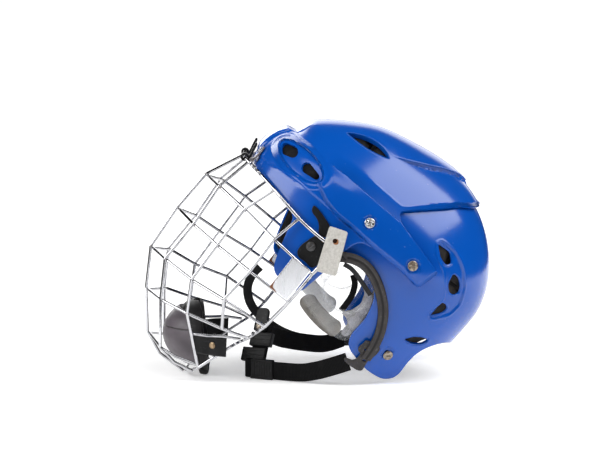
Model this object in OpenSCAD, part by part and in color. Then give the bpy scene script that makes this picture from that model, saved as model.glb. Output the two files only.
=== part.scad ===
// Hockey player's helmet with a wire face cage, standing tilted back on its chin wires and rear lobes.
// Millimetres. The helmet is drawn in the wearer's frame (+X to the back, +Z up) and then stood up.

/* [Helmet shell] */
// outside length of the shell from brow to back
shell_len = 276; // [262:1:290]
// outside width of the shell over the ears
shell_wide = 208; // [198:1:218]
// height of the crown above the middle of the shell
crown_high = 99.5; // [92:0.5:106]
// thickness of the plastic shells
shell_t = 3; // [2.4:0.1:3.6]
// how far the arrow shaped side wings stand out from the front shell
wing_rise = 2; // [1:0.25:2.5]
// how far the crown panel stands out from the front shell
crown_rise = 3; // [1:0.25:4]

/* [Cage] */
// thickness of the cage's wires
wire_d = 3.1; // [2.6:0.1:3.6]
// thickness of the frame wire round the cage
frame_d = 3.6; // [3:0.1:4.2]
// how far two crossing wires are pressed into each other at a weld
weld_sink = 0.5; // [0.3:0.1:0.8]

/* [Liner] */
// thickness of the liner foam
foam_t = 13; // [9:0.5:15]

/* [Straps] */
// width of the chin strap webbing
strap_w = 18; // [14:0.5:20]
// thickness of the chin strap webbing
strap_t = 1.8; // [1.2:0.1:2.2]

/* [Hidden] */
$fn = 32;
// scale of the drawn outlines against the sizes above
kx = (shell_len - 2 * shell_t) / 270;
ky = (shell_wide - 2 * shell_t) / 202;
kz = (crown_high - shell_t) / 96.5;
// half sizes of the egg that the shells follow, at the front shell's inner face
front_l = 163.5 * kx;
back_l = 106.5 * kx;
half_w = 101 * ky;
crown_h = 96.5 * kz;
drop_h = 240 * kz;
egg_x = 31 * kx;
egg_z = 12 * kz;
pitch = -0.02;
plan_pow = 2.4;
crown_pow = 1.82;
// layers, as offsets from the front shell's inner face
rear_gap = 1.5;
rear_out = -rear_gap;
rear_in = rear_out - shell_t;
liner_gap = 0.15;
big = 400;
clear = 0.3;
wire_r = wire_d / 2;
frame_r = frame_d / 2;

// point on the egg, th round the head from the back and ph up from the brim
function sp(v, e) = sign(v) * pow(abs(v), e);
function skin(th, ph, o) = let(
    zz = ((ph > 0 ? crown_h : drop_h) + o) * sp(sin(ph), 2 / crown_pow),
    r = sp(cos(ph), 2 / crown_pow),
    x = ((cos(th) < 0 ? front_l : back_l) + o) * r * sp(cos(th), 2 / plan_pow),
    y = (half_w + o) * r * sp(sin(th), 2 / plan_pow))
  [egg_x + x, y, egg_z + zz + pitch * x];
// the egg as an implicit function, and its half width at a point of the side view
function level(x, z, o) = let(
    dx = x - egg_x,
    zz = z - egg_z - pitch * dx,
    q = abs(zz) / ((zz > 0 ? crown_h : drop_h) + o))
  pow(max(0, 1 - pow(q, crown_pow)), plan_pow / crown_pow)
    - pow(abs(dx) / ((dx < 0 ? front_l : back_l) + o), plan_pow);
function side_y(x, z, o) = (half_w + o) * pow(max(0, level(x, z, o)), 1 / plan_pow);
function on_side(x, z, o) = [x * kx, -side_y(x * kx, z * kz, o), z * kz];
function side_n(x, z, o) = let(
    a = on_side(x - 2, z, o),
    b = on_side(x + 2, z, o),
    c = on_side(x, z - 2, o),
    d = on_side(x, z + 2, o),
    n = cross(d - c, b - a))
  -n / norm(n);
function flip(p) = [p[0], -p[1], p[2]];

// smooth curve through hand placed points
function knot(a, b, c, d, t) = 0.5 * (2 * b + (c - a) * t + (2 * a - 5 * b + 4 * c - d) * t * t
  + (3 * b - a - 3 * c + d) * t * t * t);
function smooth(p, k) = let(n = len(p)) concat([for (i = [0:n - 2], j = [0:k - 1])
  knot(p[max(i - 1, 0)], p[i], p[i + 1], p[min(i + 2, n - 1)], j / k)], [p[n - 1]]);
function tangents(p) = let(n = len(p)) [for (i = [0:n - 1])
  let(d = p[min(i + 1, n - 1)] - p[max(i - 1, 0)]) d / norm(d)];
function carry(t, n, i = 0) = i == len(t) ? [] : let(
    m = n - t[i] * (n * t[i]),
    u = m / norm(m))
  concat([u], carry(t, u, i + 1));

// solid swept along a path; outs holds the outward direction at each station
module sweep(path, outs, section) {
  t = tangents(path);
  n = len(path);
  s = len(section);
  pts = [for (i = [0:n - 1]) let(
      u = outs[i] - t[i] * (outs[i] * t[i]),
      a = u / norm(u),
      b = cross(t[i], a))
    for (c = section) path[i] + a * c[0] + b * c[1]];
  sides = [for (i = [0:n - 2], k = [0:s - 1], h = [0:1]) let(
      a = i * s + k,
      b = i * s + (k + 1) % s)
    h == 0 ? [a, b + s, b] : [a, a + s, b + s]];
  ends = [[for (k = [0:s - 1]) k], [for (k = [0:s - 1]) (n - 1) * s + s - 1 - k]];
  polyhedron(concat(pts), concat(sides, ends), convexity = 6);
}
module wire(path, r, ref = [0, 0, 1], sides = 8)
  sweep(path, carry(tangents(path), ref),
    [for (k = [0:sides - 1]) r * [cos(k * 360 / sides), sin(k * 360 / sides)]]);
module ribbon(path, outs, w, t)
  sweep(path, outs, [[0, -w / 2], [t, -w / 2], [t, w / 2], [0, w / 2]]);

// solid egg, open below the lobes
module egg(o, cols = 40, step = 8) {
  rows = [for (p = [-32:step:88]) p];
  pts = concat([for (p = rows, i = [0:cols - 1]) skin(i * 360 / cols, p, o)], [skin(0, 90, o)]);
  n = len(rows);
  sides = [for (j = [0:n - 2], i = [0:cols - 1], h = [0:1]) let(
      a = j * cols + i,
      b = j * cols + (i + 1) % cols)
    h == 0 ? [a, b + cols, b] : [a, a + cols, b + cols]];
  top = [for (i = [0:cols - 1]) [(n - 1) * cols + i, n * cols, (n - 1) * cols + (i + 1) % cols]];
  foot = [[for (i = [0:cols - 1]) i]];
  polyhedron(pts, concat(sides, top, foot), convexity = 4);
}
// outline of the side view, cut right through or on both halves only
module side(outline)
  rotate([90, 0, 0])
    linear_extrude(height = big, center = true, convexity = 8)
      polygon([for (p = outline) [p[0] * kx, p[1] * kz]]);
module plan(outline)
  linear_extrude(height = big, convexity = 4)
    polygon(concat([for (p = outline) [p[0] * kx, p[1] * ky]],
      [for (i = [len(outline) - 1:-1:0]) [outline[i][0] * kx, -outline[i][1] * ky]]));
module both() {
  children();
  mirror([0, 1, 0]) children();
}
// hole through one side wall, from one round to another in the side view
module side_slot(a, ra, b, rb, y0 = 20, y1 = 130)
  translate([0, -y0, 0])
    rotate([90, 0, 0])
      hull() {
        translate([a[0] * kx, a[1] * kz, 0]) cylinder(r = ra, h = y1 - y0, $fn = 20);
        translate([b[0] * kx, b[1] * kz, 0]) cylinder(r = rb, h = y1 - y0, $fn = 20);
      }
module top_slot(a, ra, b, rb)
  hull() {
    translate([a[0] * kx, a[1] * ky, 50]) cylinder(r = ra, h = 90, $fn = 20);
    translate([b[0] * kx, b[1] * ky, 50]) cylinder(r = rb, h = 90, $fn = 20);
  }
// frame on the near wall, local z along the outward normal and local x towards the back
module on_near(x, z, o, spin = 0) {
  p = on_side(x, z, o);
  n = side_n(x, z, o);
  ax = [1, 0, 0] - n * n[0];
  a = ax / norm(ax);
  b = cross(n, a);
  multmatrix([[a[0], b[0], n[0], p[0]], [a[1], b[1], n[1], p[1]], [a[2], b[2], n[2], p[2]], [0, 0, 0, 1]])
    rotate([0, 0, spin]) children();
}

// hole along the near wall's normal
module bore(x, z, o, r, deep)
  hull()
    for (d = [4, -deep])
      on_near(x, z, o, 7) translate([0, 0, d]) cylinder(r = r, h = 1, $fn = 22);

// outlines of the side view
front_outline = [[-160, 0], [-130, -4], [-101, -8], [-80, -13], [-73, -18], [-68, -38], [-61, -62],
  [-57, -69], [-52, -72], [-28, -72], [-23, -68], [-19, -44], [-16, -20], [-13, -2], [-8, 5],
  [7, 8], [38, 7], [59, 4], [63, 6], [69, 27], [11, 44], [4, 51], [19, 64], [35, 77], [51, 90],
  [73, 101], [76, 180], [-160, 180]];
wing_outline = [[-78, 45], [-60, 46], [-20, 44], [11, 43], [69, 27], [63, 6], [59, 4], [38, 7],
  [7, 8], [-23, 10], [-41, 10], [-52, 18], [-64, 32]];
crown_outline = [[-150, 0], [-150, 34], [-113, 34], [-104, 23], [-86, 23], [-33, 56], [-12, 54],
  [8, 44], [28, 24], [44, 8], [46, 0]];
rear_outline = [[-24, -13], [-10, -15], [13, -11], [28, -20], [38, -34], [43, -53], [42, -76],
  [46, -84], [53, -88], [72, -93], [84, -94], [99, -92.5], [107, -86.14], [109.5, -78], [108, -64],
  [109, -52], [113, -42], [121, -32], [131, -25], [170, -24], [170, 140], [60, 140], [60, 107],
  [40, 94], [22, 80], [-6, 50], [-24, 24]];
oval_outline = [for (i = [0:19]) let(a = i * 18)
  [-99 + 26 * cos(a) + 2 * sin(a), 29 + 12.5 * sin(a) - 2 * cos(a)]];
crescent_outline = [[55, 50], [58, 56], [72, 53], [90, 46], [103, 35], [110, 18], [109, 0], [97, -14],
  [95, -9], [97, 3], [94, 14], [87, 25], [78, 34], [65, 42]];
// screws through the wings, and the way the rear shell slides under the front shell
wing_screws = [[-13, 25], [45, 18]];
lobe_screw = [83, -67];
slide_dir = [-0.985, 0.174];
slide_len = 7;
// where the temple bracket is screwed, and the eye of the near ear loop
temple = [-43, -28];
loop_pivot = [-14, -17];
clip_y = 31;
clip_z = -3.4;
// the clip's wire lies straight across the brow, just ahead of the shell
axis_x = egg_x - (front_l + shell_t) - 8;

// cage wires as hand placed points of the wearer's frame, near half
v0 = [[axis_x, 0, -3.4], [-162, 0, -43], [-164, 0, -87], [-161, 0, -134], [-139, 0, -170], [-111, 0, -204],
  [-88, 0, -214], [-58, 0, -213.6]];
v1 = [[-138, -43, -4], [-146, -44, -41], [-143, -45, -86], [-144, -46, -130], [-123, -47, -164],
  [-94, -49, -202], [-74, -49, -205], [-54, -48, -201]];
v2 = [[-103, -74, -8], [-114, -67, -42], [-113, -65, -86], [-112, -64, -128], [-95, -63, -157],
  [-53, -58, -194]];
v3 = [[-68, -93, -14], [-75, -93, -45], [-74, -91, -84], [-77, -90, -121], [-60, -80, -146]];
frame_near = [[-29, -86, -118], [-27, -101, -82], [-26, -103.4, -48], [-24, -103.4, -24], [-30, -103.4, -16],
  [-46, -100.5, -15.5], [-68, -93, -14], [-103, -75.5, -8], [-127, -53, -5], [-139, -43, -4]];
chin_near = [[-29, -86, -118], [-33, -72, -137], [-40, -63.5, -154], [-53, -58, -193.5],
  [-54.5, -48, -198.6], [-56.2, -24, -207.5], [-57, 0, -211]];
function k3(p) = [p[0] * kx, p[1] * ky, p[2] * kz];
// cross wires run just inside the uprights, pressed in at the welds
function inward(p, d) = let(v = [-20 - p[0], -p[1], 0]) p + v / norm(v) * d;
function cross_near(i) = [for (v = [v3, v2, v1, v0]) inward(k3(v[i]), wire_d - weld_sink)];
function mirrored(p) = concat(p, [for (i = [len(p) - 2:-1:0]) flip(p[i])]);
cross_ends = [[-26, -104, -48], [-27, -101, -83], [-29, -86, -118], [-34, -70, -139]];

// standing: the chin wire and the rear lobes rest on the ground
lobe_foot = [103 * kx, -89.32 * kz];
chin_foot = [-58 * kx, -213.6 * kz];
foot_gap = lobe_foot - chin_foot;
tilt = atan2(foot_gap[1], foot_gap[0]) + asin(wire_r / norm(foot_gap));
base_z = lobe_foot[0] * sin(tilt) - lobe_foot[1] * cos(tilt);
back_reach = max([for (p = [-30:2:60]) let(q = skin(0, p, rear_out)) q[0] * cos(tilt) + q[2] * sin(tilt)]);
front_reach = min([for (q = smooth([for (p = v0) k3(p)], 6)) q[0] * cos(tilt) + q[2] * sin(tilt)]) - wire_r;
base_x = -(back_reach + front_reach) / 2;
module stand()
  translate([base_x, 0, base_z])
    rotate([0, tilt, 0])
      children();

module front_shell()
  color("#1450b0")
    stand()
      difference() {
        union() {
          intersection() {
            egg(shell_t);
            side(front_outline);
          }
          intersection() {
            egg(shell_t + wing_rise);
            side(wing_outline);
          }
          intersection() {
            egg(shell_t + crown_rise);
            translate([0, 0, 44]) plan(crown_outline);
          }
        }
        egg(0);
        both() {
          intersection() {
            translate([0, -big / 2 - 6, 0]) side(oval_outline);
            difference() {
              egg(30);
              egg(shell_t * 0.45);
            }
          }
          side_slot([-117, 29], 5.5, [-111, 31], 5.5);
          side_slot([-92, 28], 5, [-80, 28], 3.4);
          top_slot([-74, -44], 3.4, [-36, -58], 4.4);
          for (s = wing_screws) bore(s[0], s[1], shell_t + wing_rise, 2.7, 12);
          bore(temple[0], temple[1], lay_o, 2.5, 8);
        }
      }

module rear_shell()
  color("#1450b0")
    stand()
      difference() {
        intersection() {
          egg(rear_out);
          side(rear_outline);
        }
        egg(rear_in);
        both() {
          intersection() {
            translate([0, -big / 2 - 10, 0]) side(crescent_outline);
            difference() {
              egg(30);
              egg(rear_out - shell_t * 0.5);
            }
          }
          side_slot([63, 49], 3.6, [73, 43.5], 3.6, 30);
          side_slot([92, 32], 4.2, [101, 23.5], 4.4, 30);
          side_slot([97, -8], 2.4, [98.5, 0], 3.6, 30);
          side_slot([92, -44], 2.6, [106, -37], 2.6, 30);
          for (s = wing_screws)
            hull()
              for (k = [0, 1])
                translate(-k * slide_len * [slide_dir[0], 0, slide_dir[1]])
                  on_near(s[0], s[1], shell_t + wing_rise)
                    translate([0, 0, -16]) cylinder(r = 3, h = 18, $fn = 20);
          bore(lobe_screw[0], lobe_screw[1], rear_out, 2.4, 8);
        }
      }

// foam of the liner between the shell and the head, cut into pads by channels
module foam(o, outline, thick) {
  intersection() {
    difference() {
      egg(o);
      egg(o - thick, 24, 15);
    }
    side(outline);
  }
}
module front_liner()
  color("#b9b6ae")
    stand()
      difference() {
        foam(-liner_gap, [[-150, 4], [-128, 1], [-101, -3], [-82, -8], [-70, -22], [-62, -56], [-37, -58],
          [-37, 22], [-40, 46], [-60, 66], [-150, 66]], foam_t);
        for (a = [-1, 1]) {
          for (z = [16, 32, 48])
            hull() {
              translate(k3([-150, a * 14, z])) sphere(r = 2.5, $fn = 12);
              translate(k3([-90, a * 14, z])) sphere(r = 2.5, $fn = 12);
            }
          for (x = [-78, -58])
            hull() {
              translate(k3([x, a * 60, 50])) rotate([90, 0, 0]) cylinder(r = 3, h = 60, center = true, $fn = 12);
              translate(k3([x + 6, a * 60, 10]))
                rotate([90, 0, 0]) cylinder(r = 3, h = 60, center = true, $fn = 12);
            }
        }
      }
module crown_liner()
  color("#b9b6ae")
    stand()
      difference() {
        foam(-liner_gap, [[-150, 69], [-58, 69], [-24, 56], [-10, 68], [6, 82], [24, 95], [44, 130],
          [-150, 130]], foam_t);
        for (y = [-42, -14, 14, 42])
          hull() {
            translate(k3([-110, y, 60])) cylinder(r = 2.5, h = 60, $fn = 12);
            translate(k3([-50, y, 60])) cylinder(r = 2.5, h = 60, $fn = 12);
          }
        for (y = [-30, 0, 30, 58])
          hull() {
            translate(k3([-38, y, 60])) cylinder(r = 3, h = 60, $fn = 12);
            translate(k3([6, y, 60])) cylinder(r = 3, h = 60, $fn = 12);
          }
      }
module rear_liner()
  color("#9a9890")
    stand()
      difference() {
        foam(rear_in - liner_gap, [[4, 42], [4, 2], [30, 0], [48, -10], [56, -30], [57, -74],
          [60, -84], [84, -88], [100, -85], [104, -78], [103, -62], [104, -50], [110, -38], [128, -21],
          [170, -20], [170, 140], [70, 140], [66, 104], [46, 92], [28, 74]], foam_t);
        both() side_slot(wing_screws[1], 8.6, wing_screws[1] - slide_dir * slide_len, 8.6, 60);
        for (a = [-1, 1]) {
          for (z = [-20, 4, 28, 52])
            hull() {
              translate(k3([90, a * 16, z])) sphere(r = 3, $fn = 12);
              translate(k3([140, a * 16, z])) sphere(r = 3, $fn = 12);
            }
          for (x = [20, 62])
            hull() {
              translate(k3([x, a * 70, 40])) rotate([90, 0, 0]) cylinder(r = 3, h = 70, center = true, $fn = 12);
              translate(k3([x + 4, a * 70, 0]))
                rotate([90, 0, 0]) cylinder(r = 3, h = 70, center = true, $fn = 12);
            }
        }
      }

// clear ear guards, closed plates with an ear hole, held on a spacer under the flap
guard_o = rear_in - 2;
guard_t = 1.5;
guard_edge = [[-31, -22], [-26, -10], [-10, -7], [12, -5], [28, -9], [38, -17], [44, -30], [47, -46],
  [48, -64], [46, -78], [42, -86], [30, -89], [14, -88], [-2, -85], [-16, -80], [-26, -73], [-31, -62],
  [-32, -42]];
guard_hole = [for (i = [0:17]) let(a = 150 - i * 20) [13 + 19 * cos(a), -46 + 17.5 * sin(a)]];
guard_pivot = [-26, -34];
module ear_guard() {
  n = len(guard_edge);
  loops = [for (f = [0, 1, 2]) [for (i = [0:n - 1]) guard_hole[i] * (1 - f / 2) + guard_edge[i] * f / 2]];
  pts = [for (s = [0, 1], f = [0:2], i = [0:n - 1])
    on_side(loops[f][i][0], loops[f][i][1], guard_o - s * guard_t)];
  skins = [for (s = [0, 1], f = [0, 1], i = [0:n - 1], h = [0, 1]) let(
      a = (s * 3 + f) * n + i,
      b = (s * 3 + f) * n + (i + 1) % n,
      q = h == 0 ? [a, b, b + n] : [a, b + n, a + n])
    s == 1 ? q : [q[2], q[1], q[0]]];
  rims = [for (f = [0, 2], i = [0:n - 1], h = [0, 1]) let(
      a = f * n + i,
      b = f * n + (i + 1) % n,
      q = h == 0 ? [b, a, a + 3 * n] : [b, a + 3 * n, b + 3 * n])
    f == 2 ? q : [q[2], q[1], q[0]]];
  polyhedron(pts, concat(skins, rims), convexity = 6);
}
module ear_guards()
  color("#dfe6ea")
    stand()
      both() {
        ear_guard();
        on_near(guard_pivot[0], guard_pivot[1], guard_o)
          translate([0, 0, -clear]) cylinder(r = 5, h = -guard_o - clear, $fn = 20);
      }
// foam pad along the foot of each guard, on its inner face
pad_path = [[-17, -71], [-8, -76], [4, -79.5], [18, -81], [32, -79]];
module guard_pads()
  color("#8f887c")
    stand()
      both() {
        path = smooth([for (p = pad_path) on_side(p[0], p[1], guard_o - guard_t - clear)], 2);
        outs = [for (p = path) -side_n(p[0] / kx, p[2] / kz, guard_o)];
        sweep(path, outs, [[0, -9], [3, -9], [5, -7], [5.5, 0], [5, 7], [3, 9], [0, 9]]);
      }

// loops that hold the top wire of the cage, screwed to the brow
clip_w = 9;
clip_in = frame_r + clear;
function brow_x(y, z, o) = let(
    zz = z - egg_z + pitch * front_l,
    q = abs(zz) / ((zz > 0 ? crown_h : drop_h) + o),
    v = pow(1 - pow(q, crown_pow), plan_pow / crown_pow) - pow(abs(y) / (half_w + o), plan_pow))
  egg_x - (front_l + o) * pow(v, 1 / plan_pow);
clip_face = brow_x(clip_y - clip_w / 2, 4, shell_t) - clear / 2;
clip_top = 17;
clip_back = brow_x(clip_y - clip_w / 2, clip_top, shell_t);
module forehead_clips()
  color("#3a3d42")
    stand()
      both()
        translate([0, clip_w / 2 - clip_y, 0])
          rotate([90, 0, 0])
            difference() {
              union() {
                translate([axis_x, clip_z, 0]) cylinder(r = clip_in + 2, h = clip_w, $fn = 24);
                hull() {
                  translate([axis_x + clip_in, clip_z + 2, 0]) cylinder(r = 1.5, h = clip_w, $fn = 16);
                  translate([clip_face - 3, clip_z + 5, 0]) cylinder(r = 1.5, h = clip_w, $fn = 16);
                  translate([clip_face - 2.2, clip_z + 1, 0]) cylinder(r = 1.5, h = clip_w, $fn = 16);
                }
                hull() {
                  translate([clip_face - 3, clip_z + 4, 0]) cylinder(r = 1.5, h = clip_w, $fn = 16);
                  translate([clip_back - 1.7, clip_top, 0]) cylinder(r = 1.5, h = clip_w, $fn = 16);
                }
              }
              translate([axis_x, clip_z, -1]) cylinder(r = clip_in, h = clip_w + 2, $fn = 24);
            }
module clip_screws()
  color("#b9bcc2")
    stand()
      both()
        translate([clip_back - 5.5, -clip_y, clip_top - 5])
          rotate([0, 90, 0])
            difference() {
              cylinder(r1 = 2.4, r2 = 3.4, h = 1.4, $fn = 24);
              translate([-0.5, -4, -1]) cube([1, 8, 1.8]);
            }

// brackets at the temples, over the flaps, that take the cage and the ear loops
lay_o = shell_t + 0.2;
module lug(x, z, r, h, o = lay_o)
  on_near(x, z, o) cylinder(r = r, h = h, $fn = 24);
module temple_brackets()
  color("#1d1f22")
    stand()
      both()
        difference() {
          union() {
            hull() {
              lug(temple[0], temple[1], 7.5, 1.5);
              lug(-37, -17, 5.5, 1.5);
            }
            hull() {
              lug(-37, -17, 5.5, 1.5);
              lug(-26, -20, 4.5, 1.1);
            }
            hull() {
              lug(-26, -20, 4.5, 1.1);
              lug(loop_pivot[0], loop_pivot[1], 4.5, 1.1);
            }
            lug(loop_pivot[0], loop_pivot[1], 3.6, 1.4);
            lug(loop_pivot[0], loop_pivot[1], 1.7, 3.8);
          }
          on_near(temple[0], temple[1], lay_o) translate([0, 0, -1]) cylinder(r = 2.6, h = 4);
        }
module temple_screws()
  color("#55585c")
    stand()
      both()
        on_near(temple[0], temple[1], lay_o)
          difference() {
            union() {
              translate([0, 0, 1.6]) cylinder(r1 = 4.8, r2 = 3.8, h = 1.2);
              translate([0, 0, -shell_t]) cylinder(r = 2.2, h = shell_t + 2);
            }
            translate([-4, -0.5, 2.2]) cube([8, 1, 2]);
          }
module temple_hooks()
  color("#1d1f22")
    stand()
      both() {
        hull() {
          lug(-56, 3, 4, 1.5, lay_o + 0.1);
          lug(-42, 0, 4.2, 1.5, lay_o + 0.1);
        }
        hull() {
          lug(-42, 0, 4.2, 1.5, lay_o + 0.1);
          lug(-36.5, -5, 3.6, 1.5, lay_o + 0.1);
        }
      }

// screws through the wings, with their nuts inside the rear shell
nut_r = 6;
nut_deep = rear_in - shell_t - wing_rise - 1.4;
module shell_screws()
  color("#c9ccd2")
    stand()
      both()
        for (s = wing_screws)
          on_near(s[0], s[1], shell_t + wing_rise)
            difference() {
              union() {
                translate([0, 0, 0.2]) cylinder(r1 = 5.7, r2 = 4.9, h = 1.3);
                translate([0, 0, nut_deep - 1.6]) cylinder(r = 2.3, h = 2 - nut_deep);
              }
              translate([-4, -0.5, 0.8]) cube([8, 1, 2]);
            }
module t_nuts()
  color("#9a9da3")
    stand()
      both()
        for (s = wing_screws)
          on_near(s[0], s[1], shell_t + wing_rise)
            translate([0, 0, nut_deep - 1.4])
              difference() {
                cylinder(r = nut_r, h = 1.4);
                translate([0, 0, -1]) cylinder(r = 2.35, h = 4);
              }
module lobe_screws()
  color("#c9ccd2")
    stand()
      both()
        on_near(lobe_screw[0], lobe_screw[1], rear_out)
          difference() {
            union() {
              translate([0, 0, 0.2]) cylinder(r1 = 5.7, r2 = 4.9, h = 1.3);
              translate([0, 0, -shell_t + 0.1]) cylinder(r = 2.2, h = shell_t + 0.5);
            }
            translate([-4, -0.5, 0.8]) cube([8, 1, 2]);
          }

// the cage
function frame_line() = smooth(concat([for (p = frame_near) k3([p[0], -abs(p[1]), p[2]])],
  [[axis_x, -36.5, clip_z]]), 2);
module cage_frame()
  color("#c8ccd4")
    stand()
      wire(concat(frame_line(), [for (i = [len(frame_line()) - 1:-1:0]) flip(frame_line()[i])]),
        frame_r, [1, 0, 0]);
module cage_verticals()
  color("#c8ccd4")
    stand() {
      wire([for (p = v0) k3(p)], wire_r, [0, 1, 0]);
      both()
        for (v = [v1, v2, v3]) wire([for (p = v) k3(flip(p))], wire_r, [0, 1, 0]);
    }
module cage_cross_wires()
  color("#c8ccd4")
    stand() {
      for (i = [1:4])
        wire(mirrored(concat([k3(cross_ends[i - 1])], cross_near(i))), wire_r);
      wire(mirrored([k3([-55, -57.5, -192]), k3([-76, -54, -199]),
        inward(k3(v1[5]), wire_d - weld_sink), inward(k3(v0[5]), wire_d - weld_sink)]), wire_r);
    }
module cage_chin_wire()
  color("#c8ccd4")
    stand()
      wire(smooth(mirrored([for (p = chin_near) k3(p)]), 2), wire_r, [1, 0, 0]);
module side_plates()
  color("#c8ccd4")
    stand()
      both()
        ribbon([k3([-40, -102.85, -46]), k3([-40, -102.05, -83])], [[-0.2, -0.98, 0], [-0.2, -0.98, 0]],
          22, 1.2);

// tabs with the strap's snap hole, on the temple corners of the cage
tab_y = 103.4 * ky + frame_r + 0.15;
tab_t = 1.5;
snap_r = 2.25;
module cage_tabs()
  color("#d8d6cf")
    stand()
      both()
        translate([0, -tab_y, 0])
          rotate([90, 0, 0])
            difference() {
              hull() {
                translate([-39.5 * kx, -2 * kz, 0]) cylinder(r = 2, h = tab_t);
                translate([-25.5 * kx, 3 * kz, 0]) cylinder(r = 2, h = tab_t);
                translate([-11 * kx, -34 * kz, 0]) cylinder(r = 3, h = tab_t);
                translate([-24 * kx, -39 * kz, 0]) cylinder(r = 3, h = tab_t);
              }
              translate([-29 * kx, -9 * kz, -1]) cylinder(r = snap_r, h = tab_t + 2);
            }

// chin cup and straps: a place seen on the standing helmet, carried with the helmet's own sizes
lean = 38.1021;
function lay(p) = let(
    dx = p[0] - 42.2,
    dz = p[2] - 133.845,
    q = k3([dx * cos(lean) - dz * sin(lean), p[1], dx * sin(lean) + dz * cos(lean)]))
  [base_x + q[0] * cos(tilt) + q[2] * sin(tilt), q[1], base_z - q[0] * sin(tilt) + q[2] * cos(tilt)];
cup_c = lay([-112, 0, 41]);
cup_r = [44 * kx, 49 * ky, 35 * kz];
cup_t = 2.6;
cup_cut = [[-170, 58], [-148, 74], [-118, 74], [-114, 64], [-124, 40], [-121, 16], [-109, 9], [-105, -9],
  [-170, -9]];
module bowl(shrink)
  translate(cup_c)
    scale([for (r = cup_r) (r - shrink) / 40])
      sphere(r = 40, $fn = 26);
module cup_side()
  rotate([90, 0, 0])
    linear_extrude(height = 200, center = true)
      polygon([for (p = cup_cut) let(q = lay([p[0], 0, p[1]])) [q[0], q[2]]]);
module chin_cup()
  color("#17181a")
    difference() {
      intersection() {
        bowl(0);
        cup_side();
      }
      bowl(cup_t);
      for (y = [-27, -9, 9, 27], z = [30, 52])
        hull() {
          translate(lay([-170, y, z])) rotate([0, 90, 0]) cylinder(r = 2.4, h = 60, $fn = 12);
          translate(lay([-170, y, z + 9])) rotate([0, 90, 0]) cylinder(r = 2.4, h = 60, $fn = 12);
        }
    }
module chin_cup_pad()
  color("#2b211c")
    intersection() {
      difference() {
        bowl(cup_t + 0.15);
        bowl(cup_t + 4);
      }
      translate([2, 0, -1]) cup_side();
      for (a = [0:7]) hull() {
        translate(lay([-150, a * 6 - 21, 0])) cylinder(r = 22, h = 80, $fn = 12);
        translate(lay([-128, a * 6 - 21, 0])) cylinder(r = 22, h = 80, $fn = 12);
      }
    }
strap_line = [lay([-130, -45.3, 37]), lay([-118, -49.7, 37]), lay([-104, -61.5, 37]), lay([-91, -66.3, 37])];
module cup_straps()
  color("#1b1c1e")
    both()
      ribbon(strap_line, [[-0.35, -0.93, 0], [-0.5, -0.86, 0], [-0.55, -0.83, 0], [-0.3, -0.95, 0]], 16, 1.6);
module cup_rods()
  color("#c8ccd4")
    both()
      wire([lay([-124, -59, 48]), lay([-110, -64.5, 46.8]), lay([-95, -68, 46.8]), lay([-77, -69, 44])],
        1.5, [0, 1, 0]);

module cup_rivets()
  color("#b79a78")
    both()
      translate(strap_line[2] + [-0.9, -1.35, 0])
        rotate([0, 90, -123])
          cylinder(r = 2.8, h = 1.3, $fn = 16);

// ear loops: the near one is turned up round the ear opening, the far one hangs
loop_t = 2.2;
near_path = [[-14, -17, 5], [-3, -11.5, 4.7], [10, -10, 2.4], [24, -14, 1.4], [38, -22.5, 1.2],
  [50.5, -34.5, 1.2], [60, -50, 1.6], [65, -66, 2.6], [67, -82, 3.2]];
module near_ear_loop()
  color("#4a4744")
    stand() {
      raw = smooth([for (p = near_path) on_side(p[0], p[1], p[2])], 2);
      difference() {
        union() {
          ribbon(raw, [for (p = raw) side_n(p[0] / kx, p[2] / kz, 2)], 10, loop_t);
          on_near(loop_pivot[0], loop_pivot[1], 5)
            translate([0, 0, -0.1]) cylinder(r = 5.3, h = loop_t + 0.25, $fn = 24);
        }
        on_near(loop_pivot[0], loop_pivot[1], 5) translate([0, 0, -4]) cylinder(r = 2, h = 9, $fn = 20);
      }
    }
far_path = [[-57, 66, -90], [-58, 66, -102], [-53, 66, -116], [-39, 66, -127], [-17, 69, -131],
  [9, 75, -128.5], [35.5, 83.5, -118], [54, 90.2, -107], [69, 92, -95]];
far_pivot = [66, -97];
module far_ear_loop()
  color("#232325")
    stand() {
      raw = smooth([for (p = far_path) k3(p)], 2);
      difference() {
        ribbon(raw, [for (p = raw) [0, 1, 0]], 9, loop_t);
        translate([-57 * kx, 60 * ky, -95.5 * kz]) rotate([-90, 0, 0]) cylinder(r = 2, h = 30, $fn = 20);
        translate([far_pivot[0] * kx, 80 * ky, far_pivot[1] * kz])
          rotate([-90, 0, 0]) cylinder(r = 2, h = 30, $fn = 20);
      }
    }
hook_o = 0.4;
module loop_hooks()
  color("#3b3a39")
    stand() {
      on_near(67, -82, hook_o)
        difference() {
          union() {
            hull() {
              translate([-7, 5, 0]) cylinder(r = 4, h = 2);
              translate([7, 6, 0]) cylinder(r = 4, h = 2);
              translate([6, -8, 0]) cylinder(r = 4, h = 2);
              translate([-9, -8, 0]) cylinder(r = 4, h = 2);
            }
            hull() {
              translate([-9, -8, 0]) cylinder(r = 4, h = 2);
              translate([-15, -11, 0]) cylinder(r = 3, h = 2);
            }
          }
          translate([-10, -3, -1]) cube([strap_t + 2, 9, 4]);
        }
      mirror([0, 1, 0])
        on_near(67, -88, hook_o)
          hull() {
            translate([-8, 3, 0]) cylinder(r = 3.4, h = 2);
            translate([6, 4, 0]) cylinder(r = 3.4, h = 2);
            translate([0, -9, 0]) cylinder(r = 3.4, h = 2);
            translate([-12, -8, 0]) cylinder(r = 3.4, h = 2);
          }
      translate([far_pivot[0] * kx, 84 * ky, far_pivot[1] * kz])
        rotate([-90, 0, 0]) cylinder(r = 1.7, h = 10.5 * ky, $fn = 20);
    }

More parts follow.
